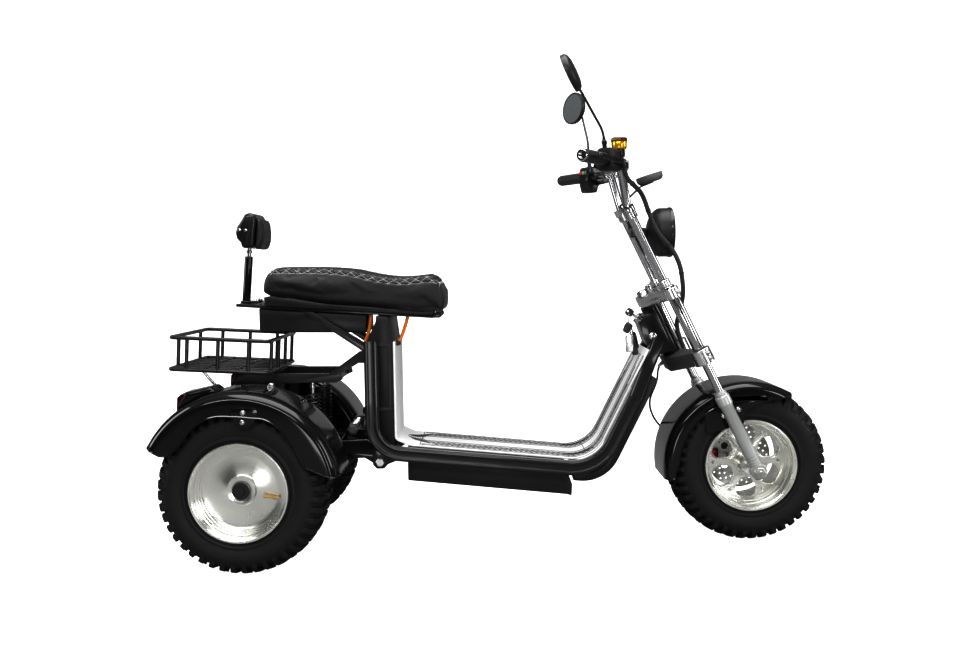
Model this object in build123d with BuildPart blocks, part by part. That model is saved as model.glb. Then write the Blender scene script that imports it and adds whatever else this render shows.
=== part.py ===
"""Electric tricycle with a low step-through frame, a raked fork and a two-wheel rear axle.

Millimetres. +X points forward, +Y to the rider's left and +Z up. The origin is on the ground,
midway between the axles.
"""
import os
from math import cos, radians, sin, tan

from build123d import *

os.makedirs("parts", exist_ok=True)

# Wheels and stance
wheelbase = 1385
rear_track = 533
tyre_radius = 225
tyre_width = 202
bead_radius = 118
flange_radius = 130
flange_half_width = 96
bead_half_width = 88
wheel_bearing_radius = 15
running_gap = 0.05

# Fork and steering
rake = 25.5
fork_half_spacing = 165
steering_offset = 50
slider_top = 235
lower_yoke_bottom = 332
lower_yoke_top = 373
upper_yoke_bottom = 530
upper_yoke_top = 560
fork_tube_top = 568
riser_top = 792
riser_offset = 7
riser_half_spacing = 72
riser_radius = 12.5
stanchion_radius = 12.5
fork_tube_radius = 16
slider_radius = 17.5
stem_radius = 12.5
front_axle_radius = 10

# Frame
rail_offset = 135
rail_width = 40
rail_height = 38
deck_half_width = 114
deck_thickness = 6

# Rear fenders
fender_radius = 265
fender_thickness = 3
fender_outer = 381
fender_inner = 154

rear_axle_x = -wheelbase / 2
front_axle_x = wheelbase / 2
half_track = rear_track / 2
sides = (("left", 1), ("right", -1))

fork = Plane(
    origin=(front_axle_x, 0, tyre_radius),
    x_dir=(cos(radians(rake)), 0, sin(radians(rake))),
    z_dir=(-sin(radians(rake)), 0, cos(radians(rake))),
)


def ahead(distance):
    """X of a point this far in front of the rear axle."""
    return rear_axle_x + distance


def side_plane(y):
    """Plane of a side view at y: its x is world X and its y is world Z."""
    return Plane(origin=(0, y, 0), x_dir=(1, 0, 0), z_dir=(0, -1, 0))


def wheel_plane(x, y, outward):
    """Half-section plane of a wheel: its x runs outward along the axle and its y is the radius."""
    return Plane(origin=(x, y, tyre_radius), x_dir=(0, outward, 0), z_dir=(outward, 0, 0))


def axle_axis(x):
    """Line of an axle."""
    return Axis((x, 0, tyre_radius), (0, 1, 0))


def bend_radii(route):
    """Arc for each corner of a cable's route, as large as the runs beside it allow."""
    runs = [end - start for start, end in zip(route, route[1:])]
    return [
        0.45 * min(first.length, second.length) / tan(radians(first.get_angle(second) / 2))
        for first, second in zip(runs, runs[1:])
    ]


def on_fork(forward, y, up):
    """World point of a place given along the fork: forward of it, across, and up it from the axle."""
    return fork.from_local_coords(Vector(forward, y, up))


# Wheels: tyre, rim with its hub, and brake disc

wheels = (
    ("front", front_axle_x, 0, -1),
    ("rear_left", rear_axle_x, half_track, 1),
    ("rear_right", rear_axle_x, -half_track, -1),
)

for wheel_name, wheel_x, wheel_y, outward in wheels:
    with BuildPart() as tyre:
        with BuildSketch(wheel_plane(wheel_x, wheel_y, outward)):
            with BuildLine():
                shoulder = (90, tyre_radius - 21)
                bulge = (tyre_width / 2, 170)
                bead_top = (bead_half_width, flange_radius + 4)
                bead_foot = (bead_half_width, bead_radius + 0.2)
                ThreePointArc((-shoulder[0], shoulder[1]), (0, tyre_radius), shoulder)
                ThreePointArc(shoulder, bulge, bead_top)
                Line(bead_top, bead_foot)
                Line(bead_foot, (-bead_foot[0], bead_foot[1]))
                Line((-bead_foot[0], bead_foot[1]), (-bead_top[0], bead_top[1]))
                ThreePointArc((-bead_top[0], bead_top[1]), (-bulge[0], bulge[1]),
                              (-shoulder[0], shoulder[1]))
            make_face()
        revolve(axis=axle_axis(wheel_x))
    tyre_name = wheel_name.replace("rear_", "rear_tyre_").replace("front", "front_tyre")
    tyre.part.label = tyre_name
    export_step(tyre.part, f"parts/{tyre_name}.step")

for side, outward in sides:
    with BuildPart() as rear_rim:
        with BuildSketch(wheel_plane(rear_axle_x, outward * half_track, outward)):
            with BuildLine():
                Polyline(
                    (flange_half_width, flange_radius), (flange_half_width, flange_radius - 5),
                    (88, 114), (60, 103), (51, 97), (51, 37), (62, 37), (62, 24), (68, 22), (68, 0), (50, 0),
                    (50, wheel_bearing_radius + running_gap),
                    (-44, wheel_bearing_radius + running_gap),
                    (-44, 37), (-38, 37), (-38, 88), (-33, 88), (-33, 37), (43, 37), (43, 106),
                    (36, 113), (-92, 113), (-flange_half_width, 120),
                    (-flange_half_width, flange_radius), (-bead_half_width, flange_radius),
                    (-bead_half_width, bead_radius), (bead_half_width, bead_radius),
                    (bead_half_width, flange_radius), close=True,
                )
            make_face()
        revolve(axis=axle_axis(rear_axle_x))
    rear_rim.part.label = f"rear_rim_{side}"
    export_step(rear_rim.part, f"parts/rear_rim_{side}.step")

front_hub_half = 84
petal_count = 6
petal_start = 29
with BuildPart() as front_rim:
    with BuildSketch(wheel_plane(front_axle_x, 0, -1)):
        with BuildLine():
            Polyline(
                (flange_half_width, flange_radius), (flange_half_width, flange_radius - 5),
                (88, 114), (28, 113), (26, 34), (front_hub_half, 26),
                (front_hub_half, front_axle_radius + running_gap),
                (-front_hub_half, front_axle_radius + running_gap),
                (-front_hub_half, 34), (16, 34), (18, 113), (-88, 114),
                (-flange_half_width, flange_radius - 5),
                (-flange_half_width, flange_radius), (-bead_half_width, flange_radius),
                (-bead_half_width, bead_radius), (bead_half_width, bead_radius),
                (bead_half_width, flange_radius), close=True,
            )
        make_face()
    revolve(axis=axle_axis(front_axle_x))
    with BuildSketch(Plane(origin=(front_axle_x, -40, tyre_radius), x_dir=(1, 0, 0),
                           z_dir=(0, 1, 0))) as petals:
        for petal in range(petal_count):
            with BuildLine(Plane.XY.rotated((0, 0, petal_start + petal * 360 / petal_count))):
                ThreePointArc((76, 32), (103, 0), (76, -32))
                Line((76, -32), (50, -14))
                ThreePointArc((50, -14), (43, 0), (50, 14))
                Line((50, 14), (76, 32))
            make_face()
    extrude(amount=40, mode=Mode.SUBTRACT)
front_rim.part.label = "front_rim"
export_step(front_rim.part, "parts/front_rim.step")

disc_y = 62
with BuildPart() as front_disc:
    with BuildSketch(Plane(origin=(front_axle_x, disc_y, tyre_radius), x_dir=(1, 0, 0),
                           z_dir=(0, 1, 0))):
        Circle(95)
        Circle(34.1, mode=Mode.SUBTRACT)
        with PolarLocations(76, 12):
            Circle(5, mode=Mode.SUBTRACT)
    extrude(amount=4)
front_disc.part.label = "front_brake_disc"
export_step(front_disc.part, "parts/front_brake_disc.step")

# Fork: axle, sliders, tubes and the two yokes

with BuildPart() as front_axle:
    with BuildSketch(side_plane(0)):
        with Locations((front_axle_x, tyre_radius)):
            Circle(front_axle_radius)
    extrude(amount=184, both=True)
    for y in (-188.6, 188.6):
        with BuildSketch(side_plane(y)):
            with Locations((front_axle_x, tyre_radius)):
                RegularPolygon(15, 6)
        extrude(amount=6, both=True)
front_axle.part.label = "front_axle"
export_step(front_axle.part, "parts/front_axle.step")

with BuildPart() as fork_sliders:
    with BuildSketch(fork):
        with Locations((0, fork_half_spacing), (0, -fork_half_spacing)):
            Circle(slider_radius)
    extrude(amount=slider_top - 30)
    with BuildSketch(fork.offset(slider_top - 30)):
        with Locations((0, fork_half_spacing), (0, -fork_half_spacing)):
            Circle(20.5)
    extrude(amount=30)
    for y in (-fork_half_spacing, fork_half_spacing):
        with BuildSketch(side_plane(y)):
            with Locations((front_axle_x, tyre_radius)):
                Circle(22)
        extrude(amount=13, both=True)
    with BuildSketch(side_plane(0)):
        with Locations((front_axle_x, tyre_radius)):
            Circle(front_axle_radius + running_gap)
    extrude(amount=200, both=True, mode=Mode.SUBTRACT)
fork_sliders.part.label = "fork_sliders"
export_step(fork_sliders.part, "parts/fork_sliders.step")

with BuildPart() as fork_tubes:
    with BuildSketch(fork.offset(slider_top)):
        with Locations((0, fork_half_spacing), (0, -fork_half_spacing)):
            Circle(stanchion_radius)
    extrude(amount=lower_yoke_bottom - slider_top)
    with BuildSketch(fork.offset(lower_yoke_bottom)):
        with Locations((0, fork_half_spacing), (0, -fork_half_spacing)):
            Circle(fork_tube_radius)
    extrude(amount=fork_tube_top - lower_yoke_bottom)
fork_tubes.part.label = "fork_tubes"
export_step(fork_tubes.part, "parts/fork_tubes.step")

with BuildPart() as lower_yoke:
    with BuildSketch(fork.offset(lower_yoke_bottom)) as lower_plate:
        with Locations((0, fork_half_spacing), (0, -fork_half_spacing)):
            Circle(27.5)
        with BuildLine():
            Polyline(
                (16, fork_half_spacing), (-20, fork_half_spacing), (-82, 50), (-82, -50),
                (-20, -fork_half_spacing), (16, -fork_half_spacing), (-12, -70), (-12, 70),
                close=True,
            )
        make_face()
        with Locations((0, fork_half_spacing), (0, -fork_half_spacing)):
            Circle(fork_tube_radius + running_gap, mode=Mode.SUBTRACT)
    extrude(amount=lower_yoke_top - lower_yoke_bottom)
    with BuildSketch(fork.offset(lower_yoke_top)):
        with Locations((-steering_offset, 0)):
            Circle(stem_radius)
    extrude(amount=upper_yoke_bottom - lower_yoke_top)
lower_yoke.part.label = "lower_yoke"
export_step(lower_yoke.part, "parts/lower_yoke.step")

with BuildPart() as upper_yoke:
    with BuildSketch(fork.offset(upper_yoke_bottom)):
        with Locations((0, fork_half_spacing), (0, -fork_half_spacing)):
            Circle(22)
        with BuildLine():
            Polyline(
                (12, fork_half_spacing), (-16, fork_half_spacing), (-74, 27), (-74, -27),
                (-16, -fork_half_spacing), (12, -fork_half_spacing), (22, -92), (22, 92),
                close=True,
            )
        make_face()
        with Locations((0, fork_half_spacing), (0, -fork_half_spacing)):
            Circle(fork_tube_radius + running_gap, mode=Mode.SUBTRACT)
    extrude(amount=upper_yoke_top - upper_yoke_bottom)
    with BuildSketch(fork.offset(upper_yoke_top)):
        with Locations((-steering_offset, 0)):
            RegularPolygon(18, 6)
    extrude(amount=14)
upper_yoke.part.label = "upper_yoke"
export_step(upper_yoke.part, "parts/upper_yoke.step")

# Handlebar, its clamp on two tall risers, and what is mounted on it

bar_x = ahead(1018)
bar_z = 1072
bar_radius = 11
bar_corner_y = 172
bar_end_x = ahead(893)
bar_end_y = 375
bar_bore_radius = 9
bar_bore_depth = 70
bar_clamp_y = 118


def along_bar(side_sign, from_end):
    """Plane across one end of the bar, this far in from its end, with its z along the bar inwards."""
    start = Vector(bar_end_x, side_sign * bar_end_y, bar_z)
    inward = Vector(bar_x, side_sign * bar_corner_y, bar_z) - start
    return Plane(origin=start + inward.normalized() * from_end, x_dir=(0, 0, 1), z_dir=inward)



with BuildPart() as bar_clamp:
    with BuildSketch(fork.offset(upper_yoke_top)):
        with Locations((riser_offset, riser_half_spacing), (riser_offset, -riser_half_spacing)):
            Circle(riser_radius)
    extrude(amount=riser_top - upper_yoke_top)
    with BuildSketch(fork.offset(riser_top)):
        with Locations((riser_offset, riser_half_spacing), (riser_offset, -riser_half_spacing)):
            Circle(19)
        with Locations((riser_offset - 9, 0)):
            Rectangle(24, 2 * riser_half_spacing)
    extrude(amount=20)
    for sign in (-1, 1):
        upright_foot = on_fork(riser_offset, sign * riser_half_spacing, riser_top + 12)
        upright_head = Vector(bar_x, sign * bar_clamp_y, bar_z)
        upright = Plane(origin=upright_foot, x_dir=(0, 1, 0), z_dir=upright_head - upright_foot)
        with BuildSketch(upright):
            Circle(12)
        extrude(amount=(upright_head - upright_foot).length)
        with BuildSketch(side_plane(sign * bar_clamp_y)):
            with Locations((bar_x, bar_z)):
                Circle(19)
        extrude(amount=17, both=True)
    with BuildSketch(side_plane(0)):
        with Locations((bar_x, bar_z)):
            Circle(bar_radius + running_gap)
    extrude(amount=bar_clamp_y + 30, both=True, mode=Mode.SUBTRACT)
bar_clamp.part.label = "bar_clamp"
export_step(bar_clamp.part, "parts/bar_clamp.step")

with BuildPart() as handlebar:
    with BuildLine():
        bar_line = FilletPolyline(
            (bar_end_x, -bar_end_y, bar_z), (bar_x, -bar_corner_y, bar_z),
            (bar_x, bar_corner_y, bar_z), (bar_end_x, bar_end_y, bar_z), radius=40,
        )
    with BuildSketch(Plane(origin=bar_line @ 0, z_dir=bar_line % 0)):
        Circle(bar_radius)
    sweep()
    for side, sign in sides:
        with BuildSketch(along_bar(sign, 0)):
            Circle(bar_bore_radius)
        extrude(amount=bar_bore_depth, mode=Mode.SUBTRACT)
handlebar.part.label = "handlebar"
export_step(handlebar.part, "parts/handlebar.step")

grip_length = 122
switch_start = 124
switch_length = 46
perch_start = 172
perch_length = 26

with BuildPart() as grips:
    for side, sign in sides:
        with BuildSketch(along_bar(sign, -8)):
            Circle(14.5)
            Circle(bar_bore_radius, mode=Mode.SUBTRACT)
        extrude(amount=8)
        with BuildSketch(along_bar(sign, 0)):
            Circle(17)
            Circle(bar_radius + running_gap, mode=Mode.SUBTRACT)
        extrude(amount=grip_length)
grips.part.label = "grips"
export_step(grips.part, "parts/grips.step")

with BuildPart() as switches:
    for side, sign in sides:
        with BuildSketch(along_bar(sign, switch_start)):
            with Locations((0, -sign * 2)):
                RectangleRounded(60, 48, 12)
            Circle(bar_radius + running_gap, mode=Mode.SUBTRACT)
        extrude(amount=switch_length)
switches.part.label = "switch_housings"
export_step(switches.part, "parts/switch_housings.step")

lever_reach = 44
tank_places = {"left": (54, 56), "right": (46, 15)}
with BuildPart() as levers:
    for side, sign in sides:
        tank_up, tank_ahead = tank_places[side]
        with BuildSketch(along_bar(sign, perch_start)):
            Circle(19)
            with Locations((0, -sign * 26)):
                RectangleRounded(26, 40, 8)
            with Locations((24, -sign * (tank_ahead + 14) / 2)):
                RectangleRounded(34, tank_ahead + 14, 6)
            with Locations((tank_up, -sign * tank_ahead)):
                RectangleRounded(32, 42, 6)
            with Locations((14, sign * 20)):
                RectangleRounded(18, 26, 5)
            Circle(bar_radius + running_gap, mode=Mode.SUBTRACT)
        extrude(amount=perch_length)
        blade = along_bar(sign, 20)
        with BuildSketch(blade):
            with Locations((0, -sign * lever_reach)):
                RectangleRounded(16, 9, 3)
        extrude(amount=perch_start - 20 + 6)
levers.part.label = "brake_levers"
export_step(levers.part, "parts/brake_levers.step")

mirror_stems = {
    "left": ((967, 212, 1096.2), (963, 220, 1180), (948, 288, 1261)),
    "right": ((967, 212, 1096.4), (962, 218, 1150), (892, 300, 1251)),
}
mirror_centres = {"left": (933, 322, 1295), "right": (872, 322, 1287)}
mirror_yaw = {"left": 28, "right": 14}
mirror_lean = {"left": 4, "right": -23}
mirror_shell = (58, 50)
with BuildPart() as mirrors:
    for side, sign in sides:
        stem_points = [Vector(ahead(x), sign * y, z) for x, y, z in mirror_stems[side]]
        with BuildLine():
            stem_line = FilletPolyline(*stem_points, radius=40)
        with BuildSketch(Plane(origin=stem_line @ 0, z_dir=stem_line % 0)):
            Circle(5)
        sweep()
        yaw = radians(mirror_yaw[side])
        lean = radians(mirror_lean[side])
        centre = mirror_centres[side]
        glass_plane = Plane(
            origin=(ahead(centre[0]), sign * centre[1], centre[2]),
            x_dir=(sign * sin(yaw), -cos(yaw), 0),
            z_dir=(-cos(yaw) * cos(lean), -sign * sin(yaw) * cos(lean), sin(lean)),
        )
        with BuildSketch(glass_plane):
            Ellipse(*mirror_shell)
        extrude(amount=10)
        with BuildSketch(glass_plane):
            Ellipse(*mirror_shell)
        with BuildSketch(glass_plane.offset(-12)):
            Ellipse(mirror_shell[0] - 16, mirror_shell[1] - 16)
        loft()
mirrors.part.label = "mirrors"
export_step(mirrors.part, "parts/mirrors.step")

# Headlight, display and front fender

lamp_x = ahead(1172)
lamp_z = 888
lamp_radius = 70
lamp_strap = 736
with BuildPart() as headlight:
    with BuildSketch(Plane(origin=(lamp_x, 0, lamp_z), x_dir=(0, 1, 0), z_dir=(-1, 0, 0))):
        Circle(lamp_radius)
    extrude(amount=30)
    with BuildSketch(Plane(origin=(lamp_x - 30, 0, lamp_z), x_dir=(0, 1, 0), z_dir=(-1, 0, 0))):
        Circle(lamp_radius)
    extrude(amount=34, taper=30)
    with BuildSketch(Plane(origin=(lamp_x - 50, 0, lamp_z), x_dir=(0, 1, 0), z_dir=(-1, 0, 0))):
        RectangleRounded(40, 28, 6)
    extrude(amount=60)
    with BuildSketch(fork.offset(lamp_strap - 12)):
        with Locations((riser_offset, 0)):
            Rectangle(20, 2 * (riser_half_spacing - riser_radius))
    extrude(amount=24)
headlight.part.label = "headlight"
export_step(headlight.part, "parts/headlight.step")

with BuildPart() as headlight_lens:
    with BuildSketch(Plane(origin=(lamp_x, 0, lamp_z), x_dir=(0, 1, 0), z_dir=(1, 0, 0))):
        Circle(lamp_radius - 4)
    extrude(amount=12, taper=40)
headlight_lens.part.label = "headlight_lens"
export_step(headlight_lens.part, "parts/headlight_lens.step")

display_tilt = 17
display_centre = Vector(ahead(1122), 0, 1032)
display_normal = Vector(-sin(radians(display_tilt)), 0, cos(radians(display_tilt)))
display_foot = on_fork(0, 0, riser_top + 24)
with BuildPart() as display:
    with BuildSketch(Plane(origin=display_centre, x_dir=(0, 1, 0), z_dir=display_normal)):
        Circle(39)
    extrude(amount=22)
    with BuildSketch(fork.offset(riser_top + 20)):
        Rectangle(20, 30)
    extrude(amount=8)
    stalk = display_centre - display_foot
    with BuildSketch(Plane(origin=display_foot + stalk.normalized() * 8, x_dir=(0, 1, 0),
                           z_dir=stalk)):
        Rectangle(22, 6)
    extrude(amount=stalk.length - 8)
display.part.label = "display"
export_step(display.part, "parts/display.step")

front_fender_radius = 238
front_fender_half = 112
front_fender_x = front_axle_x - 8
with BuildPart() as front_fender:
    with BuildSketch(wheel_plane(front_fender_x, 0, -1)):
        with BuildLine():
            Polyline(
                (-front_fender_half, 202), (-front_fender_half, 219),
                (-90, front_fender_radius - 4), (-60, front_fender_radius),
                (60, front_fender_radius), (90, front_fender_radius - 4),
                (front_fender_half, 219), (front_fender_half, 202),
                (front_fender_half - 3, 202), (front_fender_half - 3, 218),
                (88, front_fender_radius - 7), (59, front_fender_radius - 3),
                (-59, front_fender_radius - 3), (-88, front_fender_radius - 7),
                (-front_fender_half + 3, 218), (-front_fender_half + 3, 202), close=True,
            )
        make_face()
    revolve(axis=axle_axis(front_fender_x), revolution_arc=360)
    with BuildSketch(side_plane(0)):
        with BuildLine():
            start = PolarLine((front_axle_x, tyre_radius), 400, 59)
            below = Line(start @ 1, (front_axle_x + 400, tyre_radius - 400))
            corner = Line(below @ 1, (front_axle_x - 400, tyre_radius - 400))
            rise = Line(corner @ 1, (front_axle_x - 400, tyre_radius - 400 * 0.16))
            Line(rise @ 1, start @ 0)
        make_face()
    extrude(amount=200, both=True, mode=Mode.SUBTRACT)
    for sign in (-1, 1):
        with BuildSketch(side_plane(sign * (front_fender_half - 1.5))):
            with BuildLine():
                Polyline(
                    (front_axle_x - 135, tyre_radius + 160), (front_axle_x - 128, tyre_radius + 92),
                    (front_axle_x - 70, tyre_radius + 110), (front_axle_x - 24, tyre_radius + 119),
                    (front_axle_x - 22, tyre_radius + 158), (front_axle_x + 50, tyre_radius + 188),
                    (front_axle_x + 36, tyre_radius + 204), (front_axle_x - 60, tyre_radius + 200),
                    close=True,
                )
            make_face()
        extrude(amount=1.5, both=True)
        with BuildSketch(fork.offset(140)):
            lug_mid = (front_fender_half - 1 + fork_half_spacing - slider_radius) / 2
            with Locations((0, sign * lug_mid)):
                Rectangle(26, fork_half_spacing - slider_radius - front_fender_half + 1)
        extrude(amount=42)
front_fender.part.label = "front_fender"
export_step(front_fender.part, "parts/front_fender.step")

caliper_gap = 5
with BuildPart() as front_caliper:
    with BuildSketch(side_plane(140.5)):
        with BuildLine():
            Polyline(
                (front_axle_x - 100, tyre_radius - 26), (front_axle_x - 60, tyre_radius - 30),
                (front_axle_x + 10, tyre_radius - 22), (front_axle_x + 10, tyre_radius + 22),
                (front_axle_x - 60, tyre_radius + 30), (front_axle_x - 100, tyre_radius + 26),
                close=True,
            )
        make_face()
        with Locations((front_axle_x, tyre_radius)):
            Circle(front_axle_radius + running_gap, mode=Mode.SUBTRACT)
    extrude(amount=7, both=True)
    with BuildSketch(side_plane(90)):
        with BuildLine():
            Polyline(
                (front_axle_x - 100, tyre_radius - 26), (front_axle_x - 62, tyre_radius - 22),
                (front_axle_x - 62, tyre_radius + 22), (front_axle_x - 100, tyre_radius + 26),
                close=True,
            )
        make_face()
    extrude(amount=47, both=True)
    with BuildSketch(side_plane(disc_y + 2)):
        with Locations((front_axle_x, tyre_radius)):
            Circle(95 + caliper_gap)
    extrude(amount=2 + caliper_gap, both=True, mode=Mode.SUBTRACT)
front_caliper.part.label = "front_caliper"
export_step(front_caliper.part, "parts/front_caliper.step")


# Frame: side rails, head tube with its neck, footboard, belly panel and seat tower

deck_slope = 5.57
front_slope = 27
rail_tower_x = ahead(323)
rail_rear_corner = (rail_tower_x, 288)
rail_front_corner = (ahead(950), 227)
rail_bend_end = (ahead(1053), 429)
rail_neck = (ahead(1110.3), 68.05, 541)
pivot = (ahead(341), 257)

for side, sign in sides:
    with BuildPart() as side_rail:
        rail_y = sign * rail_offset
        with BuildLine(side_plane(rail_y)):
            rail_line = FilletPolyline(
                (rail_tower_x, 596), rail_rear_corner, rail_front_corner, rail_bend_end,
                radius=(86, 125),
            )
        with BuildSketch(Plane(origin=rail_line @ 0, x_dir=(0, 1, 0), z_dir=rail_line % 0)):
            RectangleRounded(rail_width, rail_height, 9)
        sweep()
        strut_start = Vector(rail_bend_end[0], rail_y, rail_bend_end[1])
        strut_end = Vector(rail_neck[0], sign * rail_neck[1], rail_neck[2])
        strut_plane = Plane(origin=strut_start, x_dir=(0, 1, 0), z_dir=rail_line % 1)
        strut_top = Plane(origin=strut_end, x_dir=(0, 1, 0), z_dir=rail_line % 1)
        with BuildSketch(strut_plane):
            RectangleRounded(rail_width, rail_height, 9)
        with BuildSketch(strut_top):
            RectangleRounded(rail_width, rail_height, 9)
        loft()
        with BuildSketch(strut_top):
            RectangleRounded(rail_width, rail_height, 9)
        extrude(amount=46)
        with BuildSketch(side_plane(sign * (deck_half_width + 9))):
            with BuildLine():
                Polyline(
                    (pivot[0] - 19, pivot[1]), (pivot[0] - 22, pivot[1] + 50),
                    (pivot[0] + 30, pivot[1] + 30), (pivot[0] + 60, pivot[1] + 8),
                    (pivot[0] + 19, pivot[1]), close=True,
                )
            make_face()
            with Locations(pivot):
                Circle(20)
        extrude(amount=8, both=True)
    side_rail.part.label = f"side_rail_{side}"
    export_step(side_rail.part, f"parts/side_rail_{side}.step")

neck_half_width = 48


def fork_side(y):
    """Side view plane turned to the fork: its x is forward of the fork line and its y is up it."""
    return Plane(origin=(front_axle_x, y, tyre_radius), x_dir=fork.x_dir, z_dir=(0, -1, 0))


with BuildPart() as neck:
    with BuildSketch(fork.offset(lower_yoke_top + 2)):
        with Locations((-steering_offset, 0)):
            Circle(26)
    extrude(amount=upper_yoke_bottom - lower_yoke_top - 4)
    with BuildSketch(fork_side(0)):
        with BuildLine():
            Polyline(
                (-50, 505), (-75, 511), (-103, 496), (-109, 432), (-100, 392), (-50, 385),
                close=True,
            )
        make_face()
    extrude(amount=neck_half_width, both=True)
    with BuildSketch(fork.offset(lower_yoke_top)):
        with Locations((-steering_offset, 0)):
            Circle(stem_radius + running_gap)
    extrude(amount=upper_yoke_bottom - lower_yoke_top, mode=Mode.SUBTRACT)
neck.part.label = "neck"
export_step(neck.part, "parts/neck.step")

with BuildPart() as footboard:
    with BuildLine(side_plane(0)):
        board_line = FilletPolyline(
            (ahead(384), 592), (ahead(384), 318), (ahead(424), 300.4), (ahead(937.1), 250.3),
            (ahead(1094.7), 560), radius=(12, 60, 103),
        )
    with BuildSketch(Plane(origin=board_line @ 0, x_dir=(0, 1, 0), z_dir=board_line % 0)):
        Rectangle(2 * deck_half_width, deck_thickness)
    sweep()
footboard.part.label = "footboard"
export_step(footboard.part, "parts/footboard.step")

with BuildPart() as belly_panel:
    with BuildLine(side_plane(0)):
        belly_line = FilletPolyline(
            (ahead(882), 202.4), (ahead(967.9), 194), (ahead(1113), 479), radius=100,
        )
    with BuildSketch(Plane(origin=belly_line @ 0, x_dir=(0, 1, 0), z_dir=belly_line % 0)):
        Rectangle(210, 22)
    sweep()
belly_panel.part.label = "belly_panel"
export_step(belly_panel.part, "parts/belly_panel.step")

with BuildPart() as battery_box:
    with BuildSketch(side_plane(0)):
        with BuildLine():
            Polyline(
                (ahead(416), 200), (ahead(864), 154), (ahead(876), 150), (ahead(878), 184),
                (ahead(856), 215), (ahead(856), 254.5), (ahead(440), 295), (ahead(430), 296.2),
                (ahead(416), 297), close=True,
            )
        make_face()
    extrude(amount=deck_half_width - 1, both=True)
battery_box.part.label = "battery_box"
export_step(battery_box.part, "parts/battery_box.step")

with BuildPart() as seat_tower:
    with BuildSketch(side_plane(0)):
        with BuildLine():
            Polyline(
                (ahead(306), 330), (ahead(306), 590), (ahead(334), 650), (ahead(335), 666),
                (ahead(372), 663), (ahead(374), 645), (ahead(381), 592), (ahead(381), 290),
                (ahead(360), 290), (ahead(330), 300), close=True,
            )
        make_face()
    extrude(amount=deck_half_width, both=True)
seat_tower.part.label = "seat_tower"
export_step(seat_tower.part, "parts/seat_tower.step")

# Seat: frame plate, box under it, hinged base and cushion

seat_pin = (ahead(508), 664)
seat_pin_radius = 4
seat_plate_slope = -4.18
with BuildPart() as seat_frame:
    with BuildSketch(side_plane(0)):
        with BuildLine():
            Polyline(
                (ahead(-60), 696), (ahead(-60), 704), (ahead(494), 663.5), (ahead(494), 655.5),
                close=True,
            )
        make_face()
    extrude(amount=92, both=True)
    for y in (-70, 70):
        with BuildSketch(side_plane(y)):
            with Locations(seat_pin):
                Circle(9)
            with BuildLine():
                Polyline((ahead(490), 663), (ahead(508), 673), (ahead(508), 655), (ahead(490), 656),
                         close=True)
            make_face()
        extrude(amount=6, both=True)
    with BuildSketch(side_plane(0)):
        with Locations(seat_pin):
            Circle(seat_pin_radius)
    extrude(amount=70, both=True)
seat_frame.part.label = "seat_frame"
export_step(seat_frame.part, "parts/seat_frame.step")

with BuildPart() as under_seat_box:
    with BuildSketch(side_plane(0)):
        with BuildLine():
            Polyline((ahead(2), 622), (ahead(2), 691), (ahead(305), 669.2), (ahead(305), 617),
                     close=True)
        make_face()
    extrude(amount=84, both=True)
under_seat_box.part.label = "under_seat_box"
export_step(under_seat_box.part, "parts/under_seat_box.step")

with BuildPart() as seat_base:
    with BuildSketch(side_plane(0)):
        with BuildLine():
            Polyline(
                (ahead(24), 699), (ahead(24), 722), (ahead(48), 727), (ahead(199), 700),
                (ahead(300), 692), (ahead(461), 677), (ahead(512), 679), (ahead(512), 674.8),
                (ahead(499), 674.2), (ahead(490), 664.9), close=True,
            )
        make_face()
    extrude(amount=112, both=True)
    for y in (-48, 48):
        with BuildSketch(side_plane(y)):
            with Locations(seat_pin):
                Circle(9)
            with BuildLine():
                Polyline((ahead(500), 677), (ahead(512), 677), (ahead(514), 674),
                         (ahead(514), 664), (ahead(500), 664), close=True)
            make_face()
            with Locations(seat_pin):
                Circle(seat_pin_radius + running_gap, mode=Mode.SUBTRACT)
        extrude(amount=8, both=True)
seat_base.part.label = "seat_base"
export_step(seat_base.part, "parts/seat_base.step")

with BuildPart() as seat_cushion:
    with BuildSketch(side_plane(0)):
        with BuildLine():
            Polyline((ahead(48), 728), (ahead(199), 701), (ahead(300), 693), (ahead(461), 678),
                     (ahead(512.5), 680), (ahead(515), 675), (ahead(530), 676), (ahead(533), 690))
            Spline((ahead(533), 690), (ahead(526), 735), (ahead(511), 765), (ahead(492), 772))
            Spline((ahead(492), 772), (ahead(412), 766), (ahead(340), 772), (ahead(270), 788),
                   (ahead(185), 796), (ahead(60), 797))
            Spline((ahead(60), 797), (ahead(36), 789), (ahead(24), 765), (ahead(20), 735))
            Line((ahead(20), 735), (ahead(48), 728))
        make_face()
    extrude(amount=138, both=True)
seat_cushion.part.label = "seat_cushion"
export_step(seat_cushion.part, "parts/seat_cushion.step")

# Backrest: post, shell and pad

with BuildPart() as backrest_post:
    with BuildSketch(Plane.XY.offset(704)):
        with Locations((ahead(-36), 0)):
            Rectangle(60, 50)
    extrude(amount=6)
    foot_point = Vector(ahead(-53), 0, 708)
    head_point = Vector(ahead(-42), 0, 838)
    post_plane = Plane(origin=foot_point, x_dir=(0, 1, 0), z_dir=head_point - foot_point)
    with BuildSketch(post_plane):
        Ellipse(15, 11.5)
    extrude(amount=(head_point - foot_point).length)
    with BuildSketch(post_plane.offset((head_point - foot_point).length)):
        Circle(6.5)
    extrude(amount=22.8)
backrest_post.part.label = "backrest_post"
export_step(backrest_post.part, "parts/backrest_post.step")

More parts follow.
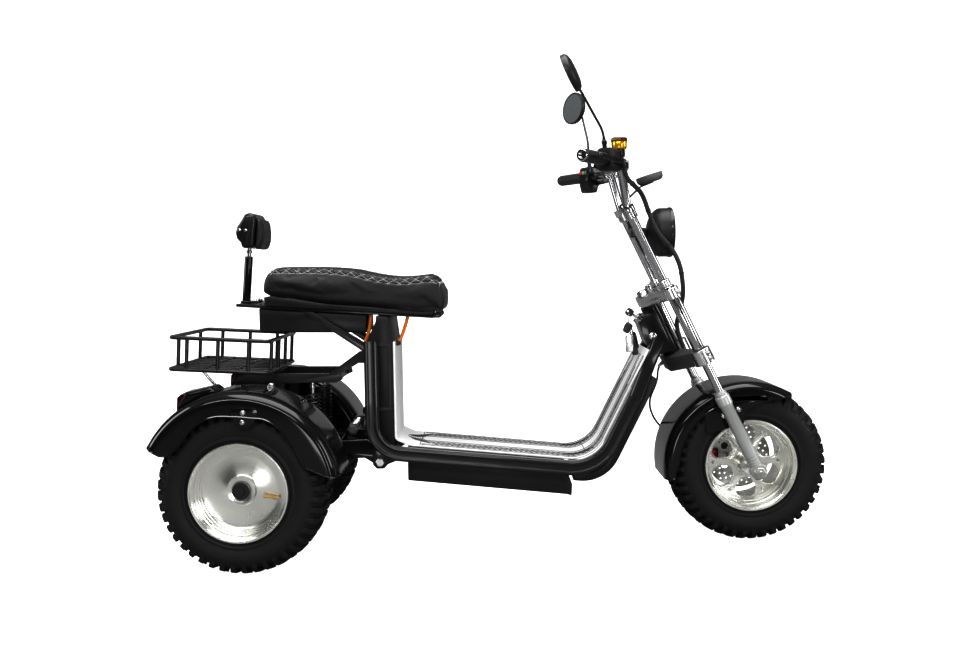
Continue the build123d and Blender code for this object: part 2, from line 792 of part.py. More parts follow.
backrest_half = 65
with BuildPart() as backrest_shell:
    with BuildSketch(side_plane(0)):
        with BuildLine():
            Polyline(
                (ahead(-46), 861), (ahead(-50), 876), (ahead(-60), 889), (ahead(-63), 905),
                (ahead(-58), 921), (ahead(-47), 938), (ahead(-38), 955), (ahead(-24), 960),
                (ahead(-11), 956), (ahead(-4), 946), (ahead(-13), 861), close=True,
            )
        make_face()
    extrude(amount=backrest_half, both=True)
backrest_shell.part.label = "backrest_shell"
export_step(backrest_shell.part, "parts/backrest_shell.step")

with BuildPart() as backrest_pad:
    with BuildSketch(side_plane(0)):
        with BuildLine():
            Polyline(
                (ahead(-4), 946), (ahead(5), 944), (ahead(11), 932), (ahead(13), 905),
                (ahead(11), 880), (ahead(4), 860), (ahead(-8), 855), (ahead(-13), 861), close=True,
            )
        make_face()
    extrude(amount=backrest_half - 3, both=True)
backrest_pad.part.label = "backrest_pad"
export_step(backrest_pad.part, "parts/backrest_pad.step")

# Rear axle, drive unit, swingarm and subframe

housing_half = 216
housing_radius = 30
stub_end = half_track + 48
arm_y = 100
arm_half = 17
with BuildPart() as rear_axle:
    with BuildSketch(side_plane(0)):
        with Locations((rear_axle_x, tyre_radius)):
            Circle(housing_radius)
    extrude(amount=housing_half, both=True)
    with BuildSketch(side_plane(0)):
        with Locations((rear_axle_x, tyre_radius)):
            Circle(wheel_bearing_radius)
    extrude(amount=stub_end, both=True)
    for y in (-arm_y, arm_y):
        with BuildSketch(side_plane(y)):
            with Locations((rear_axle_x, tyre_radius + 30)):
                Rectangle(52, 22)
        extrude(amount=arm_half, both=True)
rear_axle.part.label = "rear_axle"
export_step(rear_axle.part, "parts/rear_axle.step")

with BuildPart() as drive_unit:
    with BuildSketch(side_plane(0)):
        with Locations((rear_axle_x, tyre_radius)):
            Circle(74)
        with Locations((ahead(112), tyre_radius + 8)):
            Circle(58)
        with BuildLine():
            Polyline((ahead(0), tyre_radius - 60), (ahead(112), tyre_radius - 40),
                     (ahead(112), tyre_radius + 56), (ahead(0), tyre_radius + 60), close=True)
        make_face()
        with Locations((rear_axle_x, tyre_radius)):
            Circle(housing_radius + 0.02, mode=Mode.SUBTRACT)
    extrude(amount=70, both=True)
drive_unit.part.label = "drive_unit"
export_step(drive_unit.part, "parts/drive_unit.step")

with BuildPart() as swingarm:
    for y in (-arm_y, arm_y):
        with BuildSketch(side_plane(y)):
            with BuildLine():
                Polyline(
                    (ahead(-32), 266), (ahead(-32), 308), (ahead(-24), 314), (ahead(300), 314),
                    (ahead(304), 312), (ahead(336), 276), (ahead(360), 257), (ahead(341), 238),
                    (ahead(322), 250), (ahead(296), 266), close=True,
                )
            make_face()
        extrude(amount=arm_half - 3, both=True)
    with BuildSketch(side_plane(0)):
        with Locations(pivot):
            Circle(16)
    extrude(amount=deck_half_width, both=True)
    with BuildSketch(side_plane(0)):
        with Locations((ahead(200), 290)):
            RectangleRounded(36, 30, 6)
    extrude(amount=arm_y, both=True)
swingarm.part.label = "swingarm"
export_step(swingarm.part, "parts/swingarm.step")

with BuildPart() as rear_subframe:
    for y in (-arm_y, arm_y):
        with BuildSketch(side_plane(y)):
            with BuildLine():
                Polyline(
                    (ahead(-64), 490), (ahead(-30), 508), (ahead(232), 504),
                    (ahead(236), 488), (ahead(220), 480), (ahead(-64), 480), close=True,
                )
            make_face()
            with Locations((ahead(60), 397)):
                Rectangle(26, 166)
            with BuildLine():
                Polyline((ahead(200), 486), (ahead(196), 502), (ahead(286), 566), (ahead(306), 566),
                         (ahead(306), 534), (ahead(284), 534), close=True)
            make_face()
            with BuildLine():
                Polyline((ahead(128), 681.2), (ahead(158), 679), (ahead(306), 586),
                         (ahead(306), 560), close=True)
            make_face()
        extrude(amount=11, both=True)
    for x, z in ((-14, 493), (34, 493), (212, 493)):
        with BuildSketch(side_plane(0)):
            with Locations((ahead(x), z)):
                Rectangle(24, 20)
        extrude(amount=arm_y, both=True)
rear_subframe.part.label = "rear_subframe"
export_step(rear_subframe.part, "parts/rear_subframe.step")

with BuildPart() as stay_rods:
    for y in (-arm_y, arm_y):
        with BuildSketch(Plane.XY.offset(314)):
            with Locations((ahead(152), y)):
                Circle(6)
        extrude(amount=166)
stay_rods.part.label = "stay_rods"
export_step(stay_rods.part, "parts/stay_rods.step")

disc_inner = half_track - 38
with BuildPart() as rear_calipers:
    for side, sign in sides:
        with BuildSketch(side_plane(sign * (disc_inner - 15))):
            with Locations((rear_axle_x, tyre_radius)):
                Circle(40)
            with BuildLine():
                Polyline((rear_axle_x - 26, tyre_radius + 20), (rear_axle_x - 30, tyre_radius + 98),
                         (rear_axle_x + 30, tyre_radius + 98), (rear_axle_x + 26, tyre_radius + 20),
                         close=True)
            make_face()
            with Locations((rear_axle_x, tyre_radius)):
                Circle(housing_radius + 0.02, mode=Mode.SUBTRACT)
        extrude(amount=3, both=True)
        with BuildSketch(side_plane(sign * (disc_inner + 2.5))):
            with Locations((rear_axle_x, tyre_radius + 79)):
                Rectangle(60, 38)
        extrude(amount=20, both=True)
        with BuildSketch(side_plane(sign * (disc_inner + 2.5))):
            with Locations((rear_axle_x, tyre_radius)):
                Circle(93)
        extrude(amount=2.5 + caliper_gap, both=True, mode=Mode.SUBTRACT)
rear_calipers.part.label = "rear_calipers"
export_step(rear_calipers.part, "parts/rear_calipers.step")

# Rear fenders with their lamps

fender_front = 9
fender_rear = 152
for side, sign in sides:
    with BuildPart() as fender:
        with BuildSketch(wheel_plane(rear_axle_x, sign * half_track, sign)):
            with BuildLine():
                Polyline(
                    (fender_outer - half_track, 206), (fender_outer - half_track, 240),
                    (fender_outer - half_track - 14, fender_radius - 8),
                    (fender_outer - half_track - 40, fender_radius),
                    (fender_inner - half_track + 40, fender_radius),
                    (fender_inner - half_track + 14, fender_radius - 8),
                    (fender_inner - half_track, 240), (fender_inner - half_track, 196),
                    (fender_inner - half_track + 3, 196), (fender_inner - half_track + 3, 239),
                    (fender_inner - half_track + 16, fender_radius - 11),
                    (fender_inner - half_track + 41, fender_radius - 3),
                    (fender_outer - half_track - 41, fender_radius - 3),
                    (fender_outer - half_track - 16, fender_radius - 11),
                    (fender_outer - half_track - 3, 239), (fender_outer - half_track - 3, 206),
                    close=True,
                )
            make_face()
        revolve(axis=axle_axis(rear_axle_x))
        with BuildSketch(side_plane(sign * half_track)):
            with BuildLine():
                front_cut = PolarLine((rear_axle_x, tyre_radius), 400, fender_front)
                down = Line(front_cut @ 1, (rear_axle_x + 400, tyre_radius - 400))
                along = Line(down @ 1, (rear_axle_x - 400, tyre_radius - 400))
                rear_cut = PolarLine((rear_axle_x, tyre_radius), 400, fender_rear)
                Line(along @ 1, rear_cut @ 1)
            make_face()
        extrude(amount=200, both=True, mode=Mode.SUBTRACT)
        with BuildSketch(side_plane(sign * (fender_outer - 1.5))):
            with BuildLine():
                Polyline((rear_axle_x - 10, 460), (rear_axle_x + 2, 412), (rear_axle_x + 14, 398),
                         (rear_axle_x + 34, 398), (rear_axle_x + 50, 410), (rear_axle_x + 66, 460),
                         close=True)
            make_face()
        extrude(amount=1.5, both=True)
        with BuildSketch(side_plane(sign * (arm_y + 11 + fender_inner) / 2)):
            with Locations((ahead(60), 460)):
                Rectangle(26, 10)
        extrude(amount=(fender_inner - arm_y - 11) / 2, both=True)
    fender.part.label = f"rear_fender_{side}"
    export_step(fender.part, f"parts/rear_fender_{side}.step")

with BuildPart() as tail_lights:
    for side, sign in sides:
        with BuildSketch(side_plane(sign * half_track)):
            with BuildLine():
                lamp_foot = ThreePointArc(
                    (rear_axle_x - 168, tyre_radius + 205), (rear_axle_x - 118, tyre_radius + 237.4),
                    (rear_axle_x - 62, tyre_radius + 257.75),
                )
                Polyline(lamp_foot @ 1, (rear_axle_x - 78, 495), (rear_axle_x - 148, 480),
                         (rear_axle_x - 163, 471), lamp_foot @ 0)
            make_face()
        extrude(amount=46, both=True)
tail_lights.part.label = "tail_lights"
export_step(tail_lights.part, "parts/tail_lights.step")

# Foot pegs for the passenger

with BuildPart() as foot_pegs:
    for y in (-88, 88):
        with BuildSketch(side_plane(y)):
            with BuildLine():
                Polyline((ahead(268), 350), (ahead(268), 382), (ahead(306), 388), (ahead(306), 344),
                         close=True)
            make_face()
        extrude(amount=16, both=True)
        with BuildSketch(side_plane(y * 1.9)):
            with Locations((ahead(280), 366)):
                Circle(13)
        extrude(amount=66, both=True)
        with BuildSketch(side_plane(y * 2.56)):
            with Locations((ahead(280), 366)):
                RegularPolygon(17, 6)
        extrude(amount=8, both=True)
foot_pegs.part.label = "foot_pegs"
export_step(foot_pegs.part, "parts/foot_pegs.step")

# Basket on the rear subframe

basket_length = 280
basket_width = 372
basket_depth = 98
basket_bar = 11
basket_pitch = radians(3.37)
basket_top = Plane(
    origin=(ahead(-225), 0, 624.5), x_dir=(cos(basket_pitch), 0, -sin(basket_pitch)),
    z_dir=(sin(basket_pitch), 0, cos(basket_pitch)),
)
inner_length = basket_length - 2 * basket_bar
inner_width = basket_width - 2 * basket_bar
with BuildPart() as basket:
    for drop in (basket_bar, basket_depth):
        with BuildSketch(basket_top.offset(-drop)):
            with Locations((basket_length / 2, 0)):
                RectangleRounded(basket_length, basket_width, 24)
                RectangleRounded(inner_length, inner_width, 13, mode=Mode.SUBTRACT)
        extrude(amount=basket_bar)
    with BuildSketch(basket_top.offset(-basket_depth)):
        for x in (52, 137, 221):
            with Locations((x, -(inner_width + basket_bar) / 2), (x, (inner_width + basket_bar) / 2)):
                Rectangle(basket_bar, basket_bar)
        for y in (-104, 104):
            with Locations((basket_bar / 2, y)):
                Rectangle(basket_bar, basket_bar)
        for y in (-140, -46, 46, 140):
            with Locations((basket_length - basket_bar / 2, y)):
                Rectangle(basket_bar, basket_bar)
    extrude(amount=basket_depth)
    with BuildSketch(basket_top.offset(-basket_depth + 2)):
        for y in (-126, -84, -42, 0, 42, 84, 126):
            with Locations((basket_length / 2, y)):
                Rectangle(basket_length - basket_bar, 8)
    extrude(amount=7)
basket.part.label = "basket"
export_step(basket.part, "parts/basket.step")

with BuildPart() as basket_mount:
    with BuildSketch(side_plane(0)):
        with BuildLine():
            block_rear = basket_top.from_local_coords(Vector(206, 0, -basket_depth))
            block_front = basket_top.from_local_coords(Vector(277, 0, -basket_depth))
            Polyline(
                (block_rear.X, 503), (block_rear.X, block_rear.Z),
                (block_front.X, block_front.Z), (block_front.X, 503), close=True,
            )
        make_face()
    extrude(amount=60, both=True)
basket_mount.part.label = "basket_mount"
export_step(basket_mount.part, "parts/basket_mount.step")

# Ignition lock, seat leads, front brake hose and the handlebar loom

lock_face = (ahead(1085.21), 637.55)
with BuildPart() as ignition_lock:
    with BuildSketch(Plane(origin=(lock_face[0], -22, lock_face[1]), x_dir=(0, 1, 0),
                           z_dir=(-0.805, 0, 0.593))):
        Circle(11)
    extrude(amount=6)
    with BuildSketch(Plane(origin=(lock_face[0] - 4.83, -22, lock_face[1] + 3.56),
                           x_dir=(0, 1, 0), z_dir=(-0.805, 0, 0.593))):
        Circle(15)
    extrude(amount=9)
ignition_lock.part.label = "ignition_lock"
export_step(ignition_lock.part, "parts/ignition_lock.step")


cables = {
    "control_loom": (6.5, (
        (1015.5, -233, 1058.9), (1015.5, -233, 1030), (1048, -180, 1010), (1080, -116, 992),
        (1104, -84, 935), (1128, -82, 883), (1166, -80, 842), (1190, -76, 797), (1199, -66, 750),
        (1204, -52, 707), (1196, -34, 662), (1185.95, -18, 609.8), (1211.75, -18, 555.7),
    )),
    "brake_hose": (3, (
        (1159.35, 45, 507.36), (1145.7, 45, 494.3), (1147.2, 60, 449.5), (1124, 86, 390), (1140, 116, 336),
        (1176, 127, 292), (1214, 128, 250), (1250, 128, 234), (1284.95, 128, 234),
    )),
    "seat_lead_front": (5, (
        (387.1, -72, 586), (401, -72, 586), (421, -74, 660.3),
    )),
    "seat_lead_rear": (5, (
        (305.9, -78, 577), (297, -78, 577), (302, -78, 598), (312, -78, 620), (319, -78, 667.1),
    )),
}
for cable_name, (cable_radius, places) in cables.items():
    route = [Vector(ahead(x), y, z) for x, y, z in places]
    with BuildPart() as cable:
        with BuildLine():
            cable_line = FilletPolyline(*route, radius=bend_radii(route))
        with BuildSketch(Plane(origin=cable_line @ 0, z_dir=cable_line % 0)):
            Circle(cable_radius)
        sweep()
    cable.part.label = cable_name
    export_step(cable.part, f"parts/{cable_name}.step")
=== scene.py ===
"""Looks of an electric tricycle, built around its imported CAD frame.

Metres. +X points forward, +Y to the rider's left and +Z up. The origin is on the ground, midway
between the axles. The lists of points are in millimetres.
"""

from math import atan2, cos, exp, hypot, pi, radians, sin, tan

import bmesh
import bpy
from mathutils import Matrix, Vector
from mathutils.bvhtree import BVHTree


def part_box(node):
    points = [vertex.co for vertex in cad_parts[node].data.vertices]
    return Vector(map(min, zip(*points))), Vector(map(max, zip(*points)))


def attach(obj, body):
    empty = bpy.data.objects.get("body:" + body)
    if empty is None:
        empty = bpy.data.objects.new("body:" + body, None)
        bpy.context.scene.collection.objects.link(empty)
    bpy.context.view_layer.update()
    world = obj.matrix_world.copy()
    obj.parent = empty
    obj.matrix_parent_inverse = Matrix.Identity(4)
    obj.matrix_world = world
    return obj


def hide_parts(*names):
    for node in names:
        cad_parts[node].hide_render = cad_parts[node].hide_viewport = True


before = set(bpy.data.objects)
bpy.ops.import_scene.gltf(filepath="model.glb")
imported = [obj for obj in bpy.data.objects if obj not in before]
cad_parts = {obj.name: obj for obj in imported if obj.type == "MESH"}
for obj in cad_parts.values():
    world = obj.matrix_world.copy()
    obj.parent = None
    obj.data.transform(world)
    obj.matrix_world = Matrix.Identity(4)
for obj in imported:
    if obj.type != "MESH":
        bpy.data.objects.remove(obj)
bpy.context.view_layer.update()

# Studio: the camera stands at the right side of the tricycle, a little above the seat, and looks
# square at it with a normal lens. The floor is a roll of white paper that sweeps up behind.

MM = 0.001
SIDES = (("left", 1), ("right", -1))

camera_lens, camera_film = 36.80, 36
camera_place = (-0.0282, -2.873, 0.7986)
camera_turn, camera_dip, camera_roll = 0.5136, 3.2715, -0.9146
view_exposure, view_gamma = 0.45, 0.74

camera_data = bpy.data.cameras.new("camera")
camera_data.lens = camera_lens
camera_data.sensor_width = camera_film
camera = bpy.data.objects.new("camera", camera_data)
bpy.context.collection.objects.link(camera)
camera.matrix_world = (
    Matrix.Translation(camera_place)
    @ Matrix.Rotation(radians(camera_turn), 4, "Z")
    @ Matrix.Rotation(radians(90 - camera_dip), 4, "X")
    @ Matrix.Rotation(radians(camera_roll), 4, "Z")
)
bpy.context.scene.camera = camera
view = bpy.context.scene.view_settings
view.view_transform = "Standard"
view.exposure = view_exposure
view.gamma = view_gamma


def fill(node, values):
    """Give a node's inputs their values, by name."""
    for label, value in values.items():
        node.inputs[label].default_value = value


def join(tree, *links):
    """Link nodes in a tree: each link is (node, its output, next node, its input)."""
    for giver, output, taker, socket in links:
        tree.links.new(giver.outputs[output], taker.inputs[socket])


def start_material(name, colour, metallic=0.0, roughness=0.5):
    """New material with its principled shader set up: (material, node tree, shader)."""
    material = bpy.data.materials.new(name)
    material.use_nodes = True
    shader = material.node_tree.nodes["Principled BSDF"]
    fill(shader, {"Base Color": (*colour, 1), "Metallic": metallic, "Roughness": roughness})
    return material, material.node_tree, shader


paper_near, paper_bend, paper_round, paper_top, paper_half = -9, 3.2, 2.5, 7, 12
paper_line = [(paper_near, 0), (paper_bend, 0)]
for step in range(1, 17):
    turn = step * pi / 32
    paper_line.append((paper_bend + paper_round * sin(turn), paper_round - paper_round * cos(turn)))
paper_line.append((paper_bend + paper_round, paper_top))
paper_points = [(side * paper_half, y, z) for y, z in paper_line for side in (-1, 1)]
paper_faces = [(2 * k, 2 * k + 1, 2 * k + 3, 2 * k + 2) for k in range(len(paper_line) - 1)]
floor_mesh = bpy.data.meshes.new("studio_floor")
floor_mesh.from_pydata(paper_points, [], paper_faces)
paper, paper_tree, paper_shader = start_material("studio_paper", (0.42, 0.42, 0.42), roughness=0.95)
paper_seen = paper_tree.nodes.new("ShaderNodeLightPath")
for socket, dim, pale in (("Base Color", 0.22, 0.42), ("Emission Color", 0.0, 0.80)):
    paper_shade = paper_tree.nodes.new("ShaderNodeMix")
    paper_shade.data_type = "RGBA"
    fill(paper_shade, {"A": (dim, dim, dim, 1), "B": (pale, pale, pale, 1)})
    join(paper_tree, (paper_seen, "Is Camera Ray", paper_shade, "Factor"),
         (paper_shade, "Result", paper_shader, socket))
paper_shader.inputs["Emission Strength"].default_value = 1.0
floor_mesh.materials.append(paper)
floor_mesh.shade_smooth()
floor = bpy.data.objects.new("studio_floor", floor_mesh)
bpy.context.collection.objects.link(floor)

# Lights: a big soft top light, a long strip at the near side for the streaks on the gloss paint,
# lights at both ends, a small one low down for the glint on the rear rim, and a pale room that is
# darker low down where only reflections see it.

for light_name, place, target, size, power in (
    ("top_light", (0.1, -0.4, 3.2), (0, 0, 0.4), (3.2, 2.4), 110),
    ("near_strip", (-0.9, -3.4, 2.5), (-0.1, 0, 0.5), (3.6, 0.3), 60),
    ("near_low_light", (2.2, -3.0, 1.0), (0.2, 0, 0.4), (0.5, 1.6), 20),
    ("wheel_glint", (-0.35, -3.2, 0.25), (-0.5, 0, 0.25), (0.8, 0.5), 9),
    ("front_light", (3.6, -0.6, 1.7), (0.6, 0, 0.6), (1.2, 1.8), 34),
    ("rear_light", (-3.4, -0.2, 1.8), (-0.6, 0, 0.5), (1.2, 1.8), 34),
    ("paper_light", (0, 2.2, 3.4), (0, 5.2, 1.4), (6.0, 1.0), 150),
):
    light_data = bpy.data.lights.new(light_name, "AREA")
    light_data.shape = "RECTANGLE"
    light_data.size, light_data.size_y = size
    light_data.energy = power
    light = bpy.data.objects.new(light_name, light_data)
    light.location = place
    light.rotation_euler = (Vector(target) - Vector(place)).to_track_quat("-Z", "Y").to_euler()
    bpy.context.collection.objects.link(light)

world = bpy.data.worlds.new("studio_room")
world.use_nodes = True
bpy.context.scene.world = world
room = world.node_tree
background = room.nodes["Background"]
room_way = room.nodes.new("ShaderNodeTexCoord")
room_height = room.nodes.new("ShaderNodeSeparateXYZ")
room_shade = room.nodes.new("ShaderNodeValToRGB")
shade_steps = room_shade.color_ramp.elements
shade_steps[0].position = 0.02
shade_steps[0].color = (0.02, 0.02, 0.02, 1)
shade_steps[1].position = 0.95
shade_steps[1].color = (0.35, 0.35, 0.35, 1)
for position, level in ((0.40, 0.03), (0.62, 0.12)):
    step = shade_steps.new(position)
    step.color = (level, level, level, 1)
seen_directly = room.nodes.new("ShaderNodeLightPath")
room_mix = room.nodes.new("ShaderNodeMix")
room_mix.data_type = "RGBA"
room_mix.inputs["B"].default_value = (1, 1, 1, 1)
join(room, (room_way, "Generated", room_height, 0), (room_height, "Z", room_shade, "Fac"),
     (seen_directly, "Is Camera Ray", room_mix, "Factor"), (room_shade, "Color", room_mix, "A"),
     (room_mix, "Result", background, "Color"))
background.inputs["Strength"].default_value = 1.0

# Tyres: black rubber with a smooth sidewall and a blocky tread whose outer lugs run down over the
# shoulder. All three are the same tyre, seated on the rims' flanges.


def surface_group():
    """Fine surface of a real finish: roughness that drifts in patches, and a grain to bump with."""
    group = bpy.data.node_groups.new("worked_surface", "ShaderNodeTree")
    sockets = group.interface
    for label, value in (("Patch Size", 6.0), ("Grain Size", 300.0), ("Low", 0.3), ("High", 0.5)):
        sockets.new_socket(label, in_out="INPUT", socket_type="NodeSocketFloat").default_value = value
    for label in ("Patches", "Roughness", "Grain"):
        sockets.new_socket(label, in_out="OUTPUT", socket_type="NodeSocketFloat")
    nodes = group.nodes
    given = nodes.new("NodeGroupInput")
    result = nodes.new("NodeGroupOutput")
    place = nodes.new("ShaderNodeTexCoord")
    patches = nodes.new("ShaderNodeTexNoise")
    patches.inputs["Detail"].default_value = 4
    grain = nodes.new("ShaderNodeTexNoise")
    grain.inputs["Detail"].default_value = 2
    spread = nodes.new("ShaderNodeMapRange")
    fill(spread, {"From Min": 0.3, "From Max": 0.7})
    for noise, scale in ((patches, "Patch Size"), (grain, "Grain Size")):
        join(group, (place, "Object", noise, "Vector"), (given, scale, noise, "Scale"))
    join(group, (patches, "Fac", spread, "Value"), (given, "Low", spread, "To Min"),
         (given, "High", spread, "To Max"), (patches, "Fac", result, "Patches"),
         (spread, "Result", result, "Roughness"), (grain, "Fac", result, "Grain"))
    return group


worked_surface = surface_group()


def finish(name, colour, other=None, metallic=0.0, roughness=(0.3, 0.5), patch=6.0, grain=300.0,
           bump=0.1, depth=0.0005, coat=0.0, specular=0.5):
    """Material whose colour drifts between two near shades over a grained, worked surface."""
    material, tree, shader = start_material(name, colour, metallic)
    fill(shader, {"Coat Weight": coat, "Coat Roughness": 0.04, "Specular IOR Level": specular})
    surface = tree.nodes.new("ShaderNodeGroup")
    surface.node_tree = worked_surface
    fill(surface, {"Patch Size": patch, "Grain Size": grain, "Low": roughness[0], "High": roughness[1]})
    drift = tree.nodes.new("ShaderNodeMix")
    drift.data_type = "RGBA"
    fill(drift, {"A": (*colour, 1), "B": (*(other or colour), 1)})
    relief = tree.nodes.new("ShaderNodeBump")
    fill(relief, {"Strength": bump, "Distance": depth})
    join(tree, (surface, "Patches", drift, "Factor"), (drift, "Result", shader, "Base Color"),
         (surface, "Roughness", shader, "Roughness"), (surface, "Grain", relief, "Height"),
         (relief, "Normal", shader, "Normal"))
    return material


def facing(origin, out, up=(0, 0, 1)):
    """Place of a turned or cut piece: its z points out, and its y as near to up as it can."""
    z_way = Vector(out).normalized()
    x_way = Vector(up).cross(z_way).normalized()
    y_way = z_way.cross(x_way)
    return Matrix.Translation(origin) @ Matrix((x_way, y_way, z_way)).transposed().to_4x4()


def show(name, mesh, material, body, place=None, sharp=35, node=None):
    """Put a mesh in the scene as a piece that rides on a CAD body, in place of a CAD node or beside it."""
    if not mesh.materials:
        mesh.materials.append(material)
    mesh.shade_smooth()
    mesh.set_sharp_from_angle(angle=radians(sharp))
    piece = bpy.data.objects.new(name, mesh)
    piece.matrix_world = place or Matrix.Identity(4)
    bpy.context.collection.objects.link(piece)
    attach(piece, body)
    if node:
        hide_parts(node)
    return piece


def mesh_from(shape):
    """Mesh made from a finished bmesh."""
    mesh = bpy.data.meshes.new("shape")
    shape.to_mesh(mesh)
    shape.free()
    return mesh


def skin(rows, around=False, ends=True):
    """Mesh stretched over rows of points: around joins each row's ends, ends caps the outer rows."""
    shape = bmesh.new()
    made = [[shape.verts.new(point) for point in row] for row in rows]
    for row, other in zip(made, made[1:]):
        for k in range(len(row) if around else len(row) - 1):
            after = (k + 1) % len(row)
            shape.faces.new((row[k], row[after], other[after], other[k]))
    if ends:
        shape.faces.new(made[0])
        shape.faces.new(made[-1])
    bmesh.ops.recalc_face_normals(shape, faces=shape.faces)
    return mesh_from(shape)


def turned(profile, steps=96):
    """Mesh turned about its z axis from (height, radius) points."""
    points, faces = [], []
    for step in range(steps):
        angle = 2 * pi * step / steps
        points += [(r * MM * cos(angle), r * MM * sin(angle), z * MM) for z, r in profile]
    count = len(profile)
    for step in range(steps):
        here, there = step * count, (step + 1) % steps * count
        faces += [(here + k, there + k, there + k + 1, here + k + 1) for k in range(count - 1)]
    mesh = bpy.data.meshes.new("turned")
    mesh.from_pydata(points, [], faces)
    return mesh


def merge(meshes, places=None):
    """One mesh from several, with no doubled points left and its faces turned outwards."""
    joined = bmesh.new()
    for k, mesh in enumerate(meshes):
        if places:
            mesh.transform(places[k])
        joined.from_mesh(mesh)
        bpy.data.meshes.remove(mesh)
    bmesh.ops.remove_doubles(joined, verts=joined.verts, dist=1e-6)
    bmesh.ops.dissolve_degenerate(joined, edges=joined.edges, dist=1e-7)
    bmesh.ops.recalc_face_normals(joined, faces=joined.faces)
    return mesh_from(joined)


def copies(profile, steps, places):
    """One mesh of a turned profile repeated at each place."""
    return merge([turned(profile, steps) for _ in places], places)


tyre_low, tyre_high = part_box("front_tyre")
tyre_radius = (tyre_high.z - tyre_low.z) / 2 / MM
lug_depth = 10
lug_rows = 44
lug_pitch = 2 * pi / lug_rows


def crown(y):
    """Radius of the tread's outer surface at a distance from the tyre's middle."""
    edge = abs(y) / 90
    if edge <= 1:
        return tyre_radius - 19 * edge ** 2.6
    return tyre_radius - 19 - (abs(y) - 90) * 2.6


def lug(span_y, span_angle, depth, skew=0.0):
    """One tread block: a tapered box bent over the crown."""
    cuts = 4
    width = span_angle[1] - span_angle[0]
    outwards = 1 if span_y[1] > span_y[0] else -1
    rings = []
    for k in range(cuts + 1):
        y = span_y[0] + (span_y[1] - span_y[0]) * k / cuts
        ring = []
        for share, lift in ((0, -depth), (0.06, -1.4), (0.16, 0), (0.84, 0), (0.94, -1.4), (1, -depth)):
            turn = span_angle[0] + width * share + skew * (k / cuts - 0.5)
            inset = 1.4 * outwards * ((k == 0) - (k == cuts)) if lift == 0 else 0
            radius = (crown(y + inset) + lift) * MM
            ring.append((radius * cos(turn), radius * sin(turn), (y + inset) * MM))
        rings.append(ring)
    return skin(rings)


carcass = [(-88, 119), (-88.5, 133), (-91, 136.5), (-94.5, 138), (-96.5, 141), (-96.5, 145), (-95.5, 148),
           (-98.5, 158), (-100.5, 170), (-99, 182), (-93, 191), (-84, tyre_radius - 17 - lug_depth)]
carcass += [(y, crown(y) - lug_depth) for y in (-75, -60, -40, -20, 0)]
carcass += [(-y, r) for y, r in reversed(carcass[:-1])]
tread = [turned(carcass, 160)]
for row in range(lug_rows):
    start = row * lug_pitch
    for side in (-1, 1):
        reach = 99 if row % 2 else 95
        tread.append(lug((side * 58, side * reach), (start, start + 0.56 * lug_pitch), lug_depth + 4,
                         side * 0.12 * lug_pitch))
        tread.append(lug((side * 6, side * 52), (start + 0.02 * lug_pitch, start + 0.58 * lug_pitch),
                         lug_depth, side * (0.3 if row % 2 else -0.3) * lug_pitch))
tyre_mesh = merge(tread)
tyre_rubber = finish("tyre_rubber", (0.009, 0.009, 0.009), (0.017, 0.017, 0.017),
                     roughness=(0.5, 0.75), patch=9, grain=900, bump=0.25, depth=0.0004,
                     specular=0.32)

for node, body in (("front_tyre", "front_wheel"), ("rear_tyre_left", "rear_wheel_left"),
                   ("rear_tyre_right", "rear_wheel_right")):
    low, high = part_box(node)
    place = facing((low + high) / 2, (0, -1, 0))
    show(node.replace("tyre", "knobbly_tyre"), tyre_mesh, tyre_rubber, body, place, 28, node=node)

# Rear rims: spun and polished aluminium dishes, with stepped rings inside the rim and a dark cap in
# a bright hub. The brass valve stands at the foot of the dish.


def ring_group():
    """Turning marks of a lathe: fine rings about the piece's own z axis."""
    group = bpy.data.node_groups.new("turning_marks", "ShaderNodeTree")
    sockets = group.interface
    sockets.new_socket("Ring Size", in_out="INPUT", socket_type="NodeSocketFloat").default_value = 900
    sockets.new_socket("Rings", in_out="OUTPUT", socket_type="NodeSocketFloat")
    nodes = group.nodes
    given = nodes.new("NodeGroupInput")
    result = nodes.new("NodeGroupOutput")
    place = nodes.new("ShaderNodeTexCoord")
    parts = nodes.new("ShaderNodeSeparateXYZ")
    flat = nodes.new("ShaderNodeCombineXYZ")
    reach = nodes.new("ShaderNodeVectorMath")
    reach.operation = "LENGTH"
    around = nodes.new("ShaderNodeCombineXYZ")
    marks = nodes.new("ShaderNodeTexNoise")
    marks.inputs["Detail"].default_value = 3
    join(group, (place, "Object", parts, 0), (parts, "X", flat, "X"), (parts, "Y", flat, "Y"),
         (flat, 0, reach, 0), (reach, "Value", around, "X"), (parts, "Z", around, "Y"),
         (around, 0, marks, "Vector"), (given, "Ring Size", marks, "Scale"),
         (marks, "Fac", result, "Rings"))
    return group


turning_marks = ring_group()


def turned_metal(name, colour, other, roughness, ring_size, bump, anisotropic=0.0, metallic=1.0):
    """Bright metal finished on a lathe."""
    material = finish(name, colour, other, metallic=metallic, roughness=roughness, patch=5, grain=500)
    tree = material.node_tree
    shader = tree.nodes["Principled BSDF"]
    fill(shader, {"Anisotropic": anisotropic, "Anisotropic Rotation": 0.25})
    marks = tree.nodes.new("ShaderNodeGroup")
    marks.node_tree = turning_marks
    marks.inputs["Ring Size"].default_value = ring_size
    relief = tree.nodes.new("ShaderNodeBump")
    fill(relief, {"Strength": bump, "Distance": 0.0004})
    along = tree.nodes.new("ShaderNodeTangent")
    along.direction_type = "RADIAL"
    along.axis = "Z"
    join(tree, (marks, "Rings", relief, "Height"), (relief, "Normal", shader, "Normal"),
         (along, "Tangent", shader, "Tangent"))
    return material


